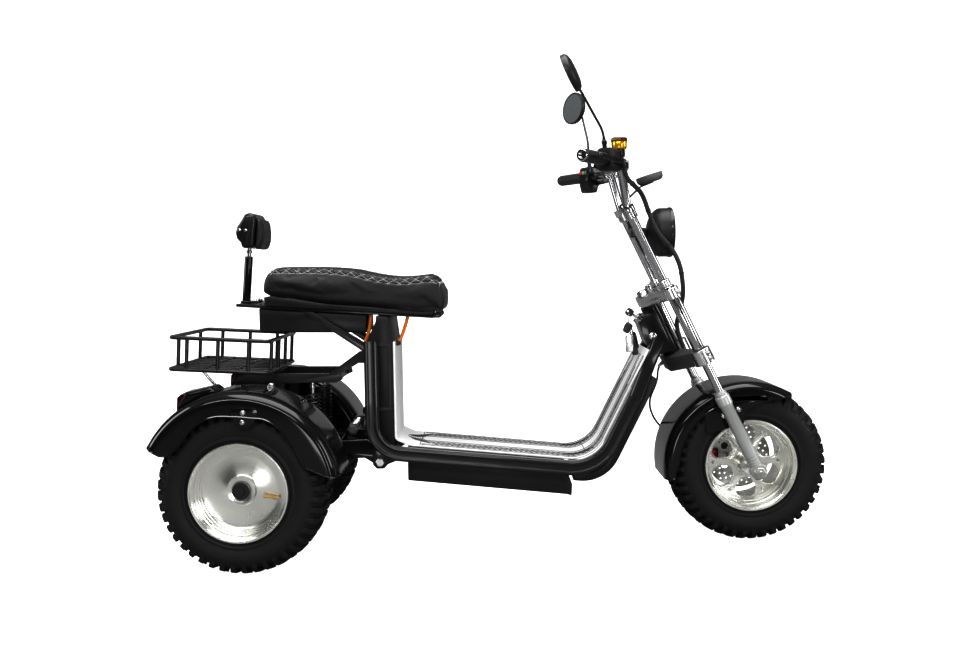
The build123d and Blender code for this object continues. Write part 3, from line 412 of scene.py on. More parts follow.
polished = turned_metal("polished_rim", (0.90, 0.90, 0.86), (0.82, 0.82, 0.77), (0.20, 0.30), 700, 0.10,
                        0.8, metallic=0.92)
cap_plastic = finish("cap_plastic", (0.010, 0.010, 0.010), (0.02, 0.02, 0.02), roughness=(0.3, 0.42),
                     bump=0.05)
brass = finish("valve_brass", (0.62, 0.42, 0.16), (0.5, 0.33, 0.12), metallic=1.0,
               roughness=(0.25, 0.35), bump=0.02)
dish = [(88, 118), (88, 129.5), (95, 130), (96.5, 129), (96.5, 125.5), (95, 124.5), (92, 124),
        (90, 121), (89, 118.6), (85, 117.6), (79, 116.6), (78, 113.2), (70, 112), (69, 109),
        (61, 107.6), (60, 104.6), (54, 103.4), (52.6, 99.5), (51.6, 97), (51, 90), (51, 41),
        (52, 39.4), (60.5, 38.2), (62, 37), (62, 27.5), (61, 26), (61, 20)]
drum = [(88, 118), (40, 118), (-88, 118), (-88, 129.5), (-95, 130), (-96.5, 129.5), (-96.5, 126),
        (-94, 124), (-92, 119), (-88, 113.4), (36, 113), (41, 110), (43, 104), (43, 38), (42, 37),
        (-33, 37), (-33, 88), (-38, 88), (-38, 37), (-44, 36.6), (-44, 16), (61, 16), (61, 20)]
cap = [(61.2, 23), (66, 23), (67.6, 21.5), (67.8, 16), (66, 15.4), (65.6, 12), (65.6, 0)]
nut = [(65.8, 11.5), (67.4, 10), (67.4, 0)]
valve = [(-12, 0.1), (-12, 4), (-2, 4.2), (-1, 3), (12, 3), (13, 4.2), (22, 4.2), (23, 3.4), (23, 0.1)]
for side, outward in SIDES:
    low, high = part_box(f"rear_rim_{side}")
    centre = (low + high) / 2
    place = facing(centre, (0, outward, 0))
    body = f"rear_wheel_{side}"
    show(f"spun_rim_{side}", merge([turned(dish, 160), turned(drum, 160)]), polished, body,
         place, node=f"rear_rim_{side}")
    show(f"hub_cap_{side}", merge([turned(cap, 48), turned(nut, 6)]), cap_plastic, body,
         place)
    tilt = radians(-12)
    valve_place = centre + Vector((84 * cos(tilt), outward * 64, 84 * sin(tilt))) * MM
    show(f"valve_{side}", turned(valve, 20), brass, body,
         facing(valve_place, (-cos(tilt), outward * 0.25, -sin(tilt))))

# Front rim: the same flanges round a flat, polished wall pierced by six petal openings, with a
# tapered hub, and the drilled steel brake disc bolted to the hub's left end.


def held(data):
    """Object that holds a mesh or curve in the scene while it is worked on."""
    holder = bpy.data.objects.new("holder", data)
    bpy.context.collection.objects.link(holder)
    return holder


def frozen(holder):
    """Mesh of a held object, with its modifiers or its curve's bevel applied."""
    bpy.context.view_layer.update()
    return bpy.data.meshes.new_from_object(holder.evaluated_get(bpy.context.evaluated_depsgraph_get()))


def cut_plate(loops, thickness, edge=0.8, place=None):
    """Flat plate from an outline and its holes, with eased edges, centred on z = 0."""
    curve = bpy.data.curves.new("plate", "CURVE")
    curve.dimensions = "2D"
    curve.fill_mode = "BOTH"
    curve.extrude = (thickness / 2 - edge) * MM
    curve.bevel_depth = edge * MM
    curve.bevel_resolution = 2
    curve.offset = -edge * MM
    for loop in loops:
        spline = curve.splines.new("POLY")
        spline.points.add(len(loop) - 1)
        for point, (x, y) in zip(spline.points, loop):
            point.co = (x * MM, y * MM, 0, 1)
        spline.use_cyclic_u = True
    shape = bmesh.new()
    shape.from_mesh(frozen(held(curve)))
    bpy.data.curves.remove(curve)
    bmesh.ops.remove_doubles(shape, verts=shape.verts, dist=1e-6)
    if place:
        shape.transform(place)
    return mesh_from(shape)


def circle(radius, steps=48, centre=(0, 0)):
    """Points of a circle."""
    return [(centre[0] + radius * cos(2 * pi * k / steps), centre[1] + radius * sin(2 * pi * k / steps))
            for k in range(steps)]


def eased(corners, radius, steps=5):
    """Closed outline whose corners are turned into arcs."""
    points = []
    count = len(corners)
    for k in range(count):
        corner = Vector(corners[k])
        back = (Vector(corners[k - 1]) - corner)
        on = (Vector(corners[(k + 1) % count]) - corner)
        reach = 0.48 * min(back.length, on.length)
        back.normalize()
        on.normalize()
        half = back.angle(on) / 2
        bend = min(radius, reach * tan(half))
        centre = corner + (back + on).normalized() * bend / sin(half)
        first = corner + back * bend / tan(half) - centre
        last = corner + on * bend / tan(half) - centre
        turn = atan2(first.x * last.y - first.y * last.x, first.dot(last))
        for step in range(steps + 1):
            angle = turn * step / steps
            points.append((centre.x + first.x * cos(angle) - first.y * sin(angle),
                           centre.y + first.x * sin(angle) + first.y * cos(angle)))
    return points


front_centre = (tyre_low + tyre_high) / 2
front_place = facing(front_centre, (0, -1, 0))
petal_count = 6
petal_start = 31
petal_outline = eased([(46, -12), (76, -32), (103, -22), (103, 22), (76, 32), (46, 12)], 15, 6)
openings = []
for petal in range(petal_count):
    turn = radians(petal_start + petal * 360 / petal_count)
    openings.append([(x * cos(turn) - y * sin(turn), x * sin(turn) + y * cos(turn))
                     for x, y in petal_outline])
wall = cut_plate([circle(112, 120), circle(30, 60)] + openings, 10, 1.6,
                 Matrix.Translation((0, 0, 22 * MM)))
front_barrel = [(88, 118), (88, 129.5), (95, 130), (96.5, 129), (96.5, 125.5), (95, 124.5), (91, 123),
                (89, 119.5), (84, 118.4), (62, 117.6), (60, 114.6), (44, 113.6), (42, 111.4),
                (30, 110.6), (27, 109), (17, 109), (14, 112.6), (-86, 113.6), (-92, 119), (-94, 124),
                (-96.5, 126), (-96.5, 129.5), (-95, 130), (-88, 129.5), (-88, 118)]
front_hub = [(-84, 11), (-84, 33), (-82, 34), (14, 34), (16, 36), (27.6, 36), (29, 34.5), (33, 32.4),
             (60, 29.4), (82, 27.4), (84, 26), (84, 11)]
petal_wheel = merge([wall, turned(front_barrel, 160), turned(front_hub, 64)])
show("petal_rim", petal_wheel, polished, "front_wheel", front_place, 30, node="front_rim")
rim_bolt = [(0, 4.5), (4, 4.5), (5.4, 3.4), (5.8, 0.1)]
bolt_places = []
for petal in range(petal_count):
    turn = radians(petal_start + 30 + petal * 360 / petal_count)
    bolt_places.append(Matrix.Translation((94 * MM * cos(turn), 94 * MM * sin(turn), 27 * MM)))
zinc = finish("zinc_bolt", (0.62, 0.62, 0.60), (0.45, 0.45, 0.44), metallic=1.0, roughness=(0.22, 0.4),
              patch=60, grain=900, bump=0.1)
show("front_rim_bolts", copies(rim_bolt, 16, bolt_places), zinc, "front_wheel", front_place)

disc_steel = turned_metal("brake_disc_steel", (0.80, 0.80, 0.79), (0.70, 0.70, 0.69), (0.22, 0.34), 1400,
                          0.2, 0.5, metallic=0.7)
disc_low, disc_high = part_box("front_brake_disc")
disc_holes = []
for ring_radius, offset in ((86, 0), (76, 0.5), (66, 0)):
    for k in range(20):
        turn = 2 * pi * (k + offset) / 20
        disc_holes.append(circle(3, 12, (ring_radius * cos(turn), ring_radius * sin(turn))))
for k in range(5):
    turn = 2 * pi * k / 5
    disc_holes.append(circle(11, 24, (48 * cos(turn), 48 * sin(turn))))
show("drilled_disc", cut_plate([circle(95, 120), circle(34.4, 48)] + disc_holes, 4, 0.4), disc_steel,
     "front_wheel", facing((disc_low + disc_high) / 2, (0, -1, 0)), node="front_brake_disc")

# Rear axle, drive unit and swingarm: a steel axle housing with the motor's cast case in its middle,
# carried by two box-section arms that pivot behind the footboard.


def dressed(node, material, body, edge=1.5):
    """A CAD piece shown with its edges eased, as a real one's are."""
    shape = bmesh.new()
    shape.from_mesh(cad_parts[node].data)
    bmesh.ops.remove_doubles(shape, verts=shape.verts, dist=1e-5)
    bmesh.ops.dissolve_limit(shape, angle_limit=radians(0.5), verts=shape.verts, edges=shape.edges)
    sharp = [k for k in shape.edges if k.is_manifold and k.calc_face_angle() > radians(30)]
    bmesh.ops.bevel(shape, geom=sharp, offset=edge * MM, segments=2, profile=0.5, affect="EDGES",
                    clamp_overlap=True)
    show(f"{node}_piece", mesh_from(shape), material, body, sharp=32, node=node)


def slab(outline, low, high, place=None, edge=1.5):
    """Block of one outline between two heights of its place, with its rims rounded over."""
    block = bmesh.new()
    foot = [block.verts.new((x * MM, y * MM, low * MM)) for x, y in outline]
    base = block.faces.new(foot)
    grown = bmesh.ops.extrude_face_region(block, geom=[base])
    tops = [part for part in grown["geom"] if isinstance(part, bmesh.types.BMVert)]
    bmesh.ops.translate(block, verts=tops, vec=(0, 0, (high - low) * MM))
    bmesh.ops.recalc_face_normals(block, faces=block.faces)
    rims = [k for k in block.edges if k.calc_face_angle() > radians(40)]
    bmesh.ops.bevel(block, geom=rims, offset=edge * MM, segments=2, profile=0.5, affect="EDGES",
                    clamp_overlap=True)
    if place:
        block.transform(place)
    return mesh_from(block)


def tile(half_x, half_y, corner, steps):
    """Outline of a rectangle about the middle, its corners turned into arcs."""
    return eased([(-half_x, -half_y), (half_x, -half_y), (half_x, half_y), (-half_x, half_y)], corner, steps)


black_paint = finish("gloss_black_paint", (0.005, 0.005, 0.006), (0.009, 0.009, 0.010),
                     roughness=(0.10, 0.17), patch=4, grain=1400, bump=0.03, depth=0.0002, coat=0.35,
                     specular=0.25)
cast_case = finish("cast_case", (0.10, 0.10, 0.105), (0.16, 0.16, 0.165), metallic=0.6,
                   roughness=(0.45, 0.65), patch=14, grain=900, bump=0.35, depth=0.0004)
chrome = finish("chrome", (0.50, 0.50, 0.51), (0.42, 0.42, 0.43), metallic=1.0, roughness=(0.14, 0.20),
                patch=8, grain=900, bump=0.004, depth=0.0002)
dressed("rear_axle", black_paint, "chassis", 2)
dressed("drive_unit", cast_case, "chassis", 4)
dressed("swingarm", black_paint, "chassis", 2.5)

rear_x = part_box("rear_tyre_right")[0].x + tyre_radius * MM
axle_z = tyre_radius * MM
fin = [(-1.4, 60), (-1.4, 76.5), (0, 78), (1.4, 76.5), (1.4, 60)]
fin_places = [facing((rear_x, (k - 4) * 14 * MM, axle_z), (0, -1, 0)) for k in range(9)]
show("motor_fins", copies(fin, 72, fin_places), cast_case, "chassis")

caliper_cast = finish("caliper_cast", (0.03, 0.03, 0.032), (0.06, 0.06, 0.062), roughness=(0.4, 0.6),
                      patch=20, grain=900, bump=0.3, depth=0.0004)
dressed("rear_calipers", caliper_cast, "chassis", 2.5)

# Side rails: black-painted box tubes that run down from the seat, along under the footboard and up
# to the steering head in one piece. A pressed groove runs along their outer faces.


def rounded(route, radius, steps=10):
    """Points in metres along a route in millimetres, every corner turned into an arc."""
    route = [Vector(point) * MM for point in route]
    radii = radius if isinstance(radius, (list, tuple)) else [radius] * (len(route) - 2)
    points = [route[0]]
    for k, (before, corner, after) in enumerate(zip(route, route[1:], route[2:])):
        back, on = (before - corner).normalized(), (after - corner).normalized()
        half = back.angle(on) / 2
        if half > pi / 2 - 0.01:
            points.append(corner)
            continue
        reach = 0.49 * min((before - corner).length, (after - corner).length)
        bend = min(radii[k] * MM, reach * tan(half))
        centre = corner + (back + on).normalized() * bend / sin(half)
        arm = corner + back * bend / tan(half) - centre
        axis = arm.cross(corner + on * bend / tan(half) - centre)
        for step in range(steps + 1):
            points.append(centre + Matrix.Rotation((pi - 2 * half) * step / steps, 3, axis) @ arm)
    points.append(route[-1])
    return points


def swept(outline, points, up, closed=False, scale=None):
    """Mesh of an outline carried along points. The outline's y starts out along up."""
    count = len(points)
    rings = []
    tangent = None
    for k, point in enumerate(points):
        before = points[k - 1] if k or closed else point
        after = points[(k + 1) % count] if k < count - 1 or closed else point
        way = (after - before).normalized()
        if tangent is None:
            rise = (Vector(up) - Vector(up).dot(way) * way).normalized()
        else:
            rise = tangent.rotation_difference(way) @ rise
            rise = (rise - rise.dot(way) * way).normalized()
        tangent = way
        side = rise.cross(way)
        size = scale(k / (count - 1)) if scale else 1
        rings.append([point + (side * x + rise * y) * MM * size for x, y in outline])
    if closed:
        rings.append(rings[0])
    flat = [corner for ring in (rings[:-1] if closed else rings) for corner in ring]
    size = len(outline)
    total = count * size
    faces = []
    for k in range(len(rings) - 1):
        for j in range(size):
            faces.append(tuple(i % total for i in (k * size + j, k * size + (j + 1) % size,
                                                   (k + 1) * size + (j + 1) % size, (k + 1) * size + j)))
    if not closed:
        faces += [tuple(reversed(range(size))), tuple(range(total - size, total))]
    mesh = bpy.data.meshes.new("swept")
    mesh.from_pydata(flat, [], faces)
    return mesh


def tube(route, radius, bends):
    """Round bar or pipe along a route with rounded corners."""
    return swept(circle(radius, 14), rounded(route, bends), (0.01, 0.02, 1))


def side_place(y):
    """Place of a side-view outline at a distance across: its x points forward and its y up."""
    return Matrix.Translation((0, y * MM, 0)) @ side_view


def from_axle(corners, radius, steps=5):
    """Eased side-view outline whose corners are given forward of the rear axle."""
    return [(at + x, z) for x, z in eased(corners, radius, steps)]


def from_rear(x, y, z):
    """World point given in millimetres ahead of the rear axle, across, and up from the ground."""
    return Vector((at + x, y, z)) * MM


at = rear_x / MM
side_view = Matrix(((1, 0, 0, 0), (0, 0, -1, 0), (0, 1, 0, 0), (0, 0, 0, 1)))
half_width, half_height = 20, 19
rail_section = eased([(-half_width, half_height), (-half_width, -half_height),
                      (half_width, -half_height), (half_width, half_height)], 8, 5)


def grooved(side):
    """Rail section with the groove pressed into the face on the given side."""
    face = side * half_width
    corners = [(-face, half_height), (-face, -half_height), (face, -half_height), (face, -9.5),
               (face - side * 2.2, -7), (face - side * 2.2, 7), (face, 9.5), (face, half_height)]
    return eased(corners, 8, 4)


rail_paint = finish("rail_paint", (0.010, 0.010, 0.011), (0.018, 0.018, 0.019), roughness=(0.16, 0.26),
                    patch=4, grain=1400, bump=0.03, depth=0.0002, coat=0.3, specular=0.25)
for side, sign in SIDES:
    rail_y = sign * 135
    line = rounded([(at + 323, rail_y, 596), (at + 323, rail_y, 288), (at + 950, rail_y, 227),
                    (at + 1053, rail_y, 429)], [86, 125], 20)
    rail = swept(grooved(sign), line, (1, 0, 0))
    strut_way = (line[-1] - line[-2]).normalized()
    strut_top = from_rear(1110.3, sign * 68.05, 541)
    strut_line = [line[-1], line[-1].lerp(strut_top, 0.5), strut_top, strut_top + strut_way * 46 * MM]
    across, over = Vector((0, 1, 0)), strut_way.cross(Vector((0, -1, 0)))
    strut = skin([[spot + (across * x - over * y) * MM for x, y in rail_section] for spot in strut_line],
                 around=True)
    hanger_outline = from_axle([(320, 250), (319, 307), (371, 287), (401, 265), (362, 250), (352, 238),
                                (330, 238)], 10, 4)
    hanger = slab(hanger_outline, -8, 8, side_place(sign * 123))
    show(f"rail_{side}", merge([rail, strut, hanger]), rail_paint, "chassis", sharp=40,
         node=f"side_rail_{side}")
    bolt_profile = [(0, 13), (5, 13), (7, 11), (7, 0)]
    show(f"pivot_bolt_{side}", turned(bolt_profile, 6), zinc, "chassis",
         facing(from_rear(341, sign * 131, 257), (0, sign, 0)))

# Steering head and its gusset: a welded box of dark-painted plate round the head tube, with a bolt
# on each side.

dressed("neck", rail_paint, "chassis", 3)
fork_rake = radians(25.5)
front_axle = Vector((front_centre.x, 0, axle_z))
fork_ahead = Vector((cos(fork_rake), 0, sin(fork_rake)))
fork_up = Vector((-sin(fork_rake), 0, cos(fork_rake)))


def on_fork(forward, y, up):
    """World point given in millimetres ahead of the fork line, across, and up it from the axle."""
    return front_axle + (fork_ahead * forward + fork_up * up + Vector((0, y, 0))) * MM


def fork_place(forward, y, up):
    """Place on the fork whose z runs up the fork and whose y points to the left."""
    return Matrix.Translation(on_fork(forward, y, up)) @ Matrix(
        (fork_ahead, (0, 1, 0), fork_up)).transposed().to_4x4()


bright = finish("bright_aluminium", (0.64, 0.64, 0.63), (0.52, 0.52, 0.52), metallic=1.0,
                roughness=(0.20, 0.30), patch=10, grain=1200, bump=0.08, depth=0.0002)
dome = [(0, 7.5), (2, 7.5), (4.5, 6), (5.6, 3.4), (6, 0.1)]
for side, sign in SIDES:
    face_y = sign * 48
    head_bolt = [(0, 10.5), (3, 10.5), (5, 8.6), (6, 5), (6.4, 0.1)]
    show(f"head_bolt_{side}", turned(head_bolt, 32), bright, "chassis",
         facing(on_fork(-84, face_y, 447), (0, sign, 0)))

# Footboard: one folded aluminium sheet that runs down the tower, along the floor and up to the
# steering head, anodised silver, with black anti-slip ribs and long strips on top.

deck_half = 114
deck_route = [(at + 384, 0, 592), (at + 384, 0, 318), (at + 424, 0, 300.4), (at + 937.1, 0, 250.3),
              (at + 1094.7, 0, 560)]
deck_line = rounded(deck_route, [12, 60, 103], 24)
deck_section = eased([(-deck_half, 3), (-deck_half, -3), (deck_half, -3), (deck_half, 3)], 1.4, 3)
silver = finish("silver_deck", (0.93, 0.93, 0.93), (0.86, 0.86, 0.86), metallic=0.3,
                roughness=(0.34, 0.48), patch=8, grain=1200, bump=0.12, depth=0.0003)
show("deck_sheet", swept(deck_section, deck_line, (1, 0, 0)), silver, "chassis",
     node="footboard")

deck_reach = [0.0]
for start, end in zip(deck_line, deck_line[1:]):
    deck_reach.append(deck_reach[-1] + (end - start).length / MM)


def on_deck(along, across, lift=3.6):
    """World point on the board's top, given in millimetres along it from the tower, and across."""
    k = 1
    while k < len(deck_line) - 1 and deck_reach[k] < along:
        k += 1
    share = (along - deck_reach[k - 1]) / (deck_reach[k] - deck_reach[k - 1])
    way = (deck_line[k] - deck_line[k - 1]).normalized()
    over = Vector((0, 1, 0)).cross(way) * -1
    return deck_line[k - 1].lerp(deck_line[k], share) + over * lift * MM + Vector((0, across * MM, 0))


def deck_strip(start, end, width=3.0, lift=4.0, pieces=1):
    """Raised strip on the board between two (along, across) places."""
    (a0, c0), (a1, c1) = start, end
    long_way = Vector((a1 - a0, c1 - c0)).normalized()
    side_way = Vector((-long_way.y, long_way.x)) * width / 2
    rows = []
    for k in range(pieces + 1):
        a, c = a0 + (a1 - a0) * k / pieces, c0 + (c1 - c0) * k / pieces
        rows.append([on_deck(a + side_way.x * s, c + side_way.y * s, h) for s, h in
                     ((-1, 2.6), (-0.7, lift), (0.7, lift), (1, 2.6))])
    return skin(rows, around=True)


flat_start = deck_reach[-1] * 0.255
flat_end = deck_reach[-1] * 0.70
rubber_strips = []
for side in (-1, 1):
    for across, width in ((108, 7), (93, 2.4), (52, 2.4), (36, 5)):
        rubber_strips.append(deck_strip((flat_start + 50, side * across),
                                        (deck_reach[-1] - 22, side * across), width, 4.0, 60))
    along = flat_start + 62
    while along < flat_end:
        rubber_strips.append(deck_strip((along, side * 57), (along + 34, side * 88), 3.4, 4.2))
        along += 15
    for k in range(7):
        along = flat_start + 4 + k * 7
        rubber_strips.append(deck_strip((along, side * 8), (along + 26, side * (40 + k * 7)), 2.6, 4.2))
    along = flat_end + 8
    for across in (62, 71, 80):
        top_end = deck_reach[-1] + 126 - 3 * across
        rubber_strips.append(deck_strip((along, side * across), (top_end, side * across), 2.8, 4.0, 40))
rubber_strips.append(deck_strip((flat_start + 46, -112), (flat_start + 46, 112), 2.5, 4.0))
rubber_strips.append(deck_strip((flat_end + 2, -112), (flat_end + 2, 112), 2.0, 4.0))
mat_rubber = finish("mat_rubber", (0.022, 0.022, 0.024), (0.035, 0.035, 0.037), roughness=(0.4, 0.6),
                    patch=12, grain=1000, bump=0.2, depth=0.0003)
show("deck_strips", merge(rubber_strips), mat_rubber, "chassis")

# Battery box and belly panel: black moulded covers under the board, the battery's with a sloped
# front end and a folded rim, and the panel closing the front bend behind the wheel.

moulded = finish("moulded_black", (0.012, 0.012, 0.013), (0.020, 0.020, 0.022), roughness=(0.32, 0.46),
                 patch=8, grain=1100, bump=0.22, depth=0.0003, specular=0.32)
dressed("battery_box", moulded, "chassis", 3)
dressed("belly_panel", moulded, "chassis", 3)

# Seat tower: a box of black moulded panels between the rails, with pressed frames on its sides and
# a hinged lid on its rear. The seat's steel plate frame and the box under the seat sit on it.

dressed("seat_tower", moulded, "chassis", 4)
frame_outer = from_axle([(312, 398), (374, 398), (374, 584), (345, 590), (312, 584)], 6, 4)
frame_inner = from_axle([(320, 408), (366, 408), (366, 574), (343, 580), (320, 574)], 5, 4)
for sign in (-1, 1):
    panel = cut_plate([frame_outer, frame_inner], 3, place=side_place(sign * 114))
    show(f"tower_frame_{'left' if sign > 0 else 'right'}", panel, moulded, "chassis")

satin_black = finish("satin_black_steel", (0.012, 0.012, 0.013), (0.022, 0.022, 0.024),
                     roughness=(0.22, 0.36), patch=7, grain=1100, bump=0.08, depth=0.0002, coat=0.15,
                     specular=0.3)
dressed("seat_frame", satin_black, "chassis", 1.5)
dressed("under_seat_box", moulded, "chassis", 4)
dressed("rear_subframe", satin_black, "chassis", 2.5)
rods = []
for sign in (-1, 1):
    foot = from_rear(152, sign * 100, 314)
    rod = turned([(0, 6), (0, 10), (5, 10), (6, 6), (12, 5.8), (150, 5.8), (152, 9), (158, 9), (159, 6),
                  (166, 6)], 24)
    rod.transform(Matrix.Translation(foot))
    rods.append(rod)
show("stay_rods_piece", merge(rods), chrome, "chassis", node="stay_rods")
for side, sign in SIDES:
    spring = []
    turns, coil, foot_z, rise = 11, 17, 330, 118
    for k in range(turns * 16 + 1):
        angle = 2 * pi * k / 16
        spring.append(from_rear(152 + coil * cos(angle), sign * 100 + coil * sin(angle),
                                foot_z + rise * k / (turns * 16)))
    show(f"stay_spring_{side}", swept(circle(3.2, 8), spring, (0, 0, 1)), satin_black, "chassis")

# Passenger's foot pegs: turned chrome bars with a dark rubber end, in brackets welded to the tower.

pegs = []
peg_place = []
peg_profile = [(0, 13), (4, 14.5), (8, 14.5), (10, 12)]
for k in range(9):
    peg_profile += [(12 + k * 10, 12), (13 + k * 10, 13.2), (19 + k * 10, 13.2), (20 + k * 10, 12)]
peg_profile += [(104, 12), (112, 12), (112, 0)]
peg_end = [(110, 14), (112, 16.4), (124, 16.4), (129, 14), (131, 9), (131, 0)]
for side, sign in SIDES:
    root = from_rear(280, sign * 102, 366)
    pegs.append(turned(peg_profile, 40))
    peg_place.append(facing(root, (0, sign, 0)))
    show(f"peg_end_{side}", turned(peg_end, 6), mat_rubber, "chassis",
         facing(root, (0, sign, 0)), 20)
    outline = from_axle([(268, 350), (306, 344), (306, 388), (268, 382)], 5, 3)
    block = slab(outline, 72, 104, Matrix.Scale(1, 4) if sign < 0 else Matrix.Scale(-1, 4, (0, 0, 1)), 2)
    block.transform(side_view)
    if sign > 0:
        block.flip_normals()
    show(f"peg_bracket_{side}", block, satin_black, "chassis")
show("foot_peg_bars", merge(pegs, peg_place), chrome, "chassis", node="foot_pegs")

# Rear fenders: deep pressed-steel mudguards in gloss black, with a rounded crown, skirts cut to a
# wave along their lower edge and a rolled lip. Each is bolted to the subframe through a tab.


def between(table, at_value):
    """Smooth value at a place in a table of (place, value) that runs upwards."""
    k = 1
    while k < len(table) - 1 and table[k][0] < at_value:
        k += 1
    (a, low), (b, high) = table[k - 1], table[k]
    before = table[k - 2][1] if k > 1 else low
    after = table[k + 1][1] if k + 1 < len(table) else high
    t = min(max((at_value - a) / (b - a), 0), 1)
    return 0.5 * (2 * low + (high - before) * t + (2 * before - 5 * low + 4 * high - after) * t * t
                  + (3 * low - before - 3 * high + after) * t ** 3)


def shell(rows, thickness):
    """Sheet-metal skin through rows of points, thickened by as much to both its sides."""
    holder = held(skin(rows, ends=False))
    thick = holder.modifiers.new("thickness", "SOLIDIFY")
    thick.thickness = thickness * MM
    thick.offset = 0
    mesh = frozen(holder)
    bpy.data.objects.remove(holder)
    return mesh


def lipped(rows, lip_radius):
    """Sheet-metal skin 3 mm thick with a round lip all along its edge."""
    edge = ([row[0] for row in rows] + rows[-1][1:-1] + [row[-1] for row in rows][::-1]
            + rows[0][1:-1][::-1])
    return merge([shell(rows, 3), swept(circle(lip_radius, 8), edge, (0, 0, 1), closed=True)])


skirt = [(9, 258), (11, 236), (16, 210), (22, 189), (30, 184), (42, 192), (55, 204), (68, 209), (78, 203),
         (92, 203), (105, 209), (114, 208), (126, 201), (136, 193), (149, 200), (153, 226)]
inner_skirt = [(9, 250), (20, 200), (60, 198), (100, 198), (140, 200), (153, 226)]
fender_outer, fender_inner, fender_crown = 381, 154, 265
fender_side, fender_round, half_sheet = 240, 40, 1.6
fender_start, fender_stop, fender_steps = 9.3, 151.8, 110
half_track = 266.5


def quarter():
    """Shares of the way in and of the way up, for each of eight steps of a quarter turn."""
    turns = [radians(90 * k / 8) for k in range(9)]
    return [(1 - cos(turn), sin(turn)) for turn in turns]


for side, sign in SIDES:
    rows = []
    outer_face, inner_face = fender_outer - half_sheet, fender_inner + half_sheet
    rise = fender_crown - fender_side - half_sheet
    for step in range(fender_steps + 1):
        degrees = fender_start + (fender_stop - fender_start) * step / fender_steps
        turn = radians(degrees)
        low = between(skirt, degrees)
        inside = between(inner_skirt, degrees)
        section = [(outer_face, low + (fender_side - low) * k / 4) for k in range(5)]
        section += [(outer_face - fender_round * share, fender_side + rise * up)
                    for share, up in quarter()[1:]]
        section += [(outer_face - fender_round - (fender_outer - fender_inner - 83) * k / 6,
                     fender_crown - half_sheet) for k in range(1, 6)]
        section += [(inner_face + fender_round * share, fender_side + rise * up)
                    for share, up in quarter()[:0:-1]]
        section += [(inner_face, fender_side + (inside - fender_side) * k / 4) for k in range(5)]
        rows.append([Vector((rear_x + r * MM * cos(turn), sign * y * MM, axle_z + r * MM * sin(turn)))
                     for y, r in section])
    show(f"fender_{side}", lipped(rows, 2.6), black_paint, "chassis", sharp=40,
         node=f"rear_fender_{side}")
    face_y = sign * (fender_outer - 1.5)
    tab = from_axle([(-12, 450), (2, 410), (14, 397), (34, 397), (50, 408), (66, 450)], 12)
    show(f"fender_tab_{side}", cut_plate([tab], 3.2, 0.9, side_place(face_y)), black_paint, "chassis")
    tab_bolts = [facing(from_rear(x, face_y + sign, z), (0, sign, 0)) for x, z in ((24, 437), (22, 413))]
    show(f"fender_bolts_{side}", copies(dome, 20, tab_bolts), zinc, "chassis")
    arm = slab(from_axle([(47, 455), (73, 455), (73, 465), (47, 465)], 3, 3), -156, -111,
               side_view @ Matrix.Scale(-sign, 4, (0, 0, 1)), 1)
    show(f"fender_arm_{side}", merge([arm]), satin_black, "chassis")
    top_mount = from_rear(60, sign * 215, 225 + 258)
    crown_bolt = [(0, 11), (2.4, 11), (2.6, 8), (8, 8), (10, 6), (11, 0.1)]
    show(f"fender_top_bolt_{side}", turned(crown_bolt, 24), zinc, "chassis",
         facing(top_mount, (0.22, 0, 1), (0, 1, 0)))

# Tail lamps: black housings that fair into the fenders' rear shoulders, each with a dark red ribbed
# lens that wraps round its rear end.

red_lens = finish("red_lens", (0.030, 0.003, 0.004), (0.018, 0.002, 0.003), roughness=(0.06, 0.14),
                  patch=20, grain=600, bump=0.1, depth=0.0003, coat=0.8)
dressed("tail_lights", black_paint, "chassis", 5)
lens_side = from_axle([(-166.5, 438), (-164, 470), (-150, 480.5), (-138, 481), (-146, 462), (-154, 447)],
                      4, 4)
for side, sign in SIDES:
    lamp_place = side_place(sign * half_track)
    parts = [slab(lens_side, -47, 47, lamp_place, 2.5)]
    for k in range(-4, 5):
        parts.append(slab([(at - 168, 442), (at - 165.4, 470), (at - 162, 470), (at - 164, 442)],
                          k * 9.5 - 1.2, k * 9.5 + 1.2, lamp_place, 0.5))
    show(f"lamp_lens_{side}", merge(parts), red_lens, "chassis")

# Basket: round black-painted bars welded into two rings with uprights between, on a floor of
# lengthways rods. It is screwed down on a block at the rear of the subframe.

basket_pitch = 3.37
pitch = radians(basket_pitch)
basket_place = Matrix.Translation(from_rear(-225, 0, 624.5)) @ Matrix(
    ((cos(pitch), 0, sin(pitch), 0), (0, 1, 0, 0), (-sin(pitch), 0, cos(pitch), 0), (0, 0, 0, 1)))
basket_length, basket_width, basket_depth, bar = 280, 372, 98, 5.5
side_bar = basket_width / 2 - bar
bars = []
for height in (-bar, -basket_depth + bar):
    loop = eased([(bar, -side_bar), (basket_length - bar, -side_bar), (basket_length - bar, side_bar),
                  (bar, side_bar)], 14, 8)
    bars.append(swept(circle(bar, 14), [Vector((x, y, height)) * MM for x, y in loop], (0, 0, 1),
                      closed=True))
posts = [(x, y) for x in (52, 137, 221) for y in (-side_bar, side_bar)]
posts += [(bar, -104), (bar, 104)] + [(basket_length - bar, y) for y in (-140, -46, 46, 140)]
for x, y in posts:
    bars.append(tube([(x, y, -bar), (x, y, -basket_depth + bar)], 5.2, 1))
for y in (-126, -84, -42, 0, 42, 84, 126):
    bars.append(tube([(bar, y, -basket_depth + 5), (basket_length - bar, y, -basket_depth + 5)], 3.6, 1))
for x in (90, 180):
    bars.append(tube([(x, -side_bar, -basket_depth + 8.5), (x, side_bar, -basket_depth + 8.5)], 3, 1))
show("wire_basket", merge(bars), satin_black, "chassis", basket_place, node="basket")
dressed("basket_mount", satin_black, "chassis", 2)
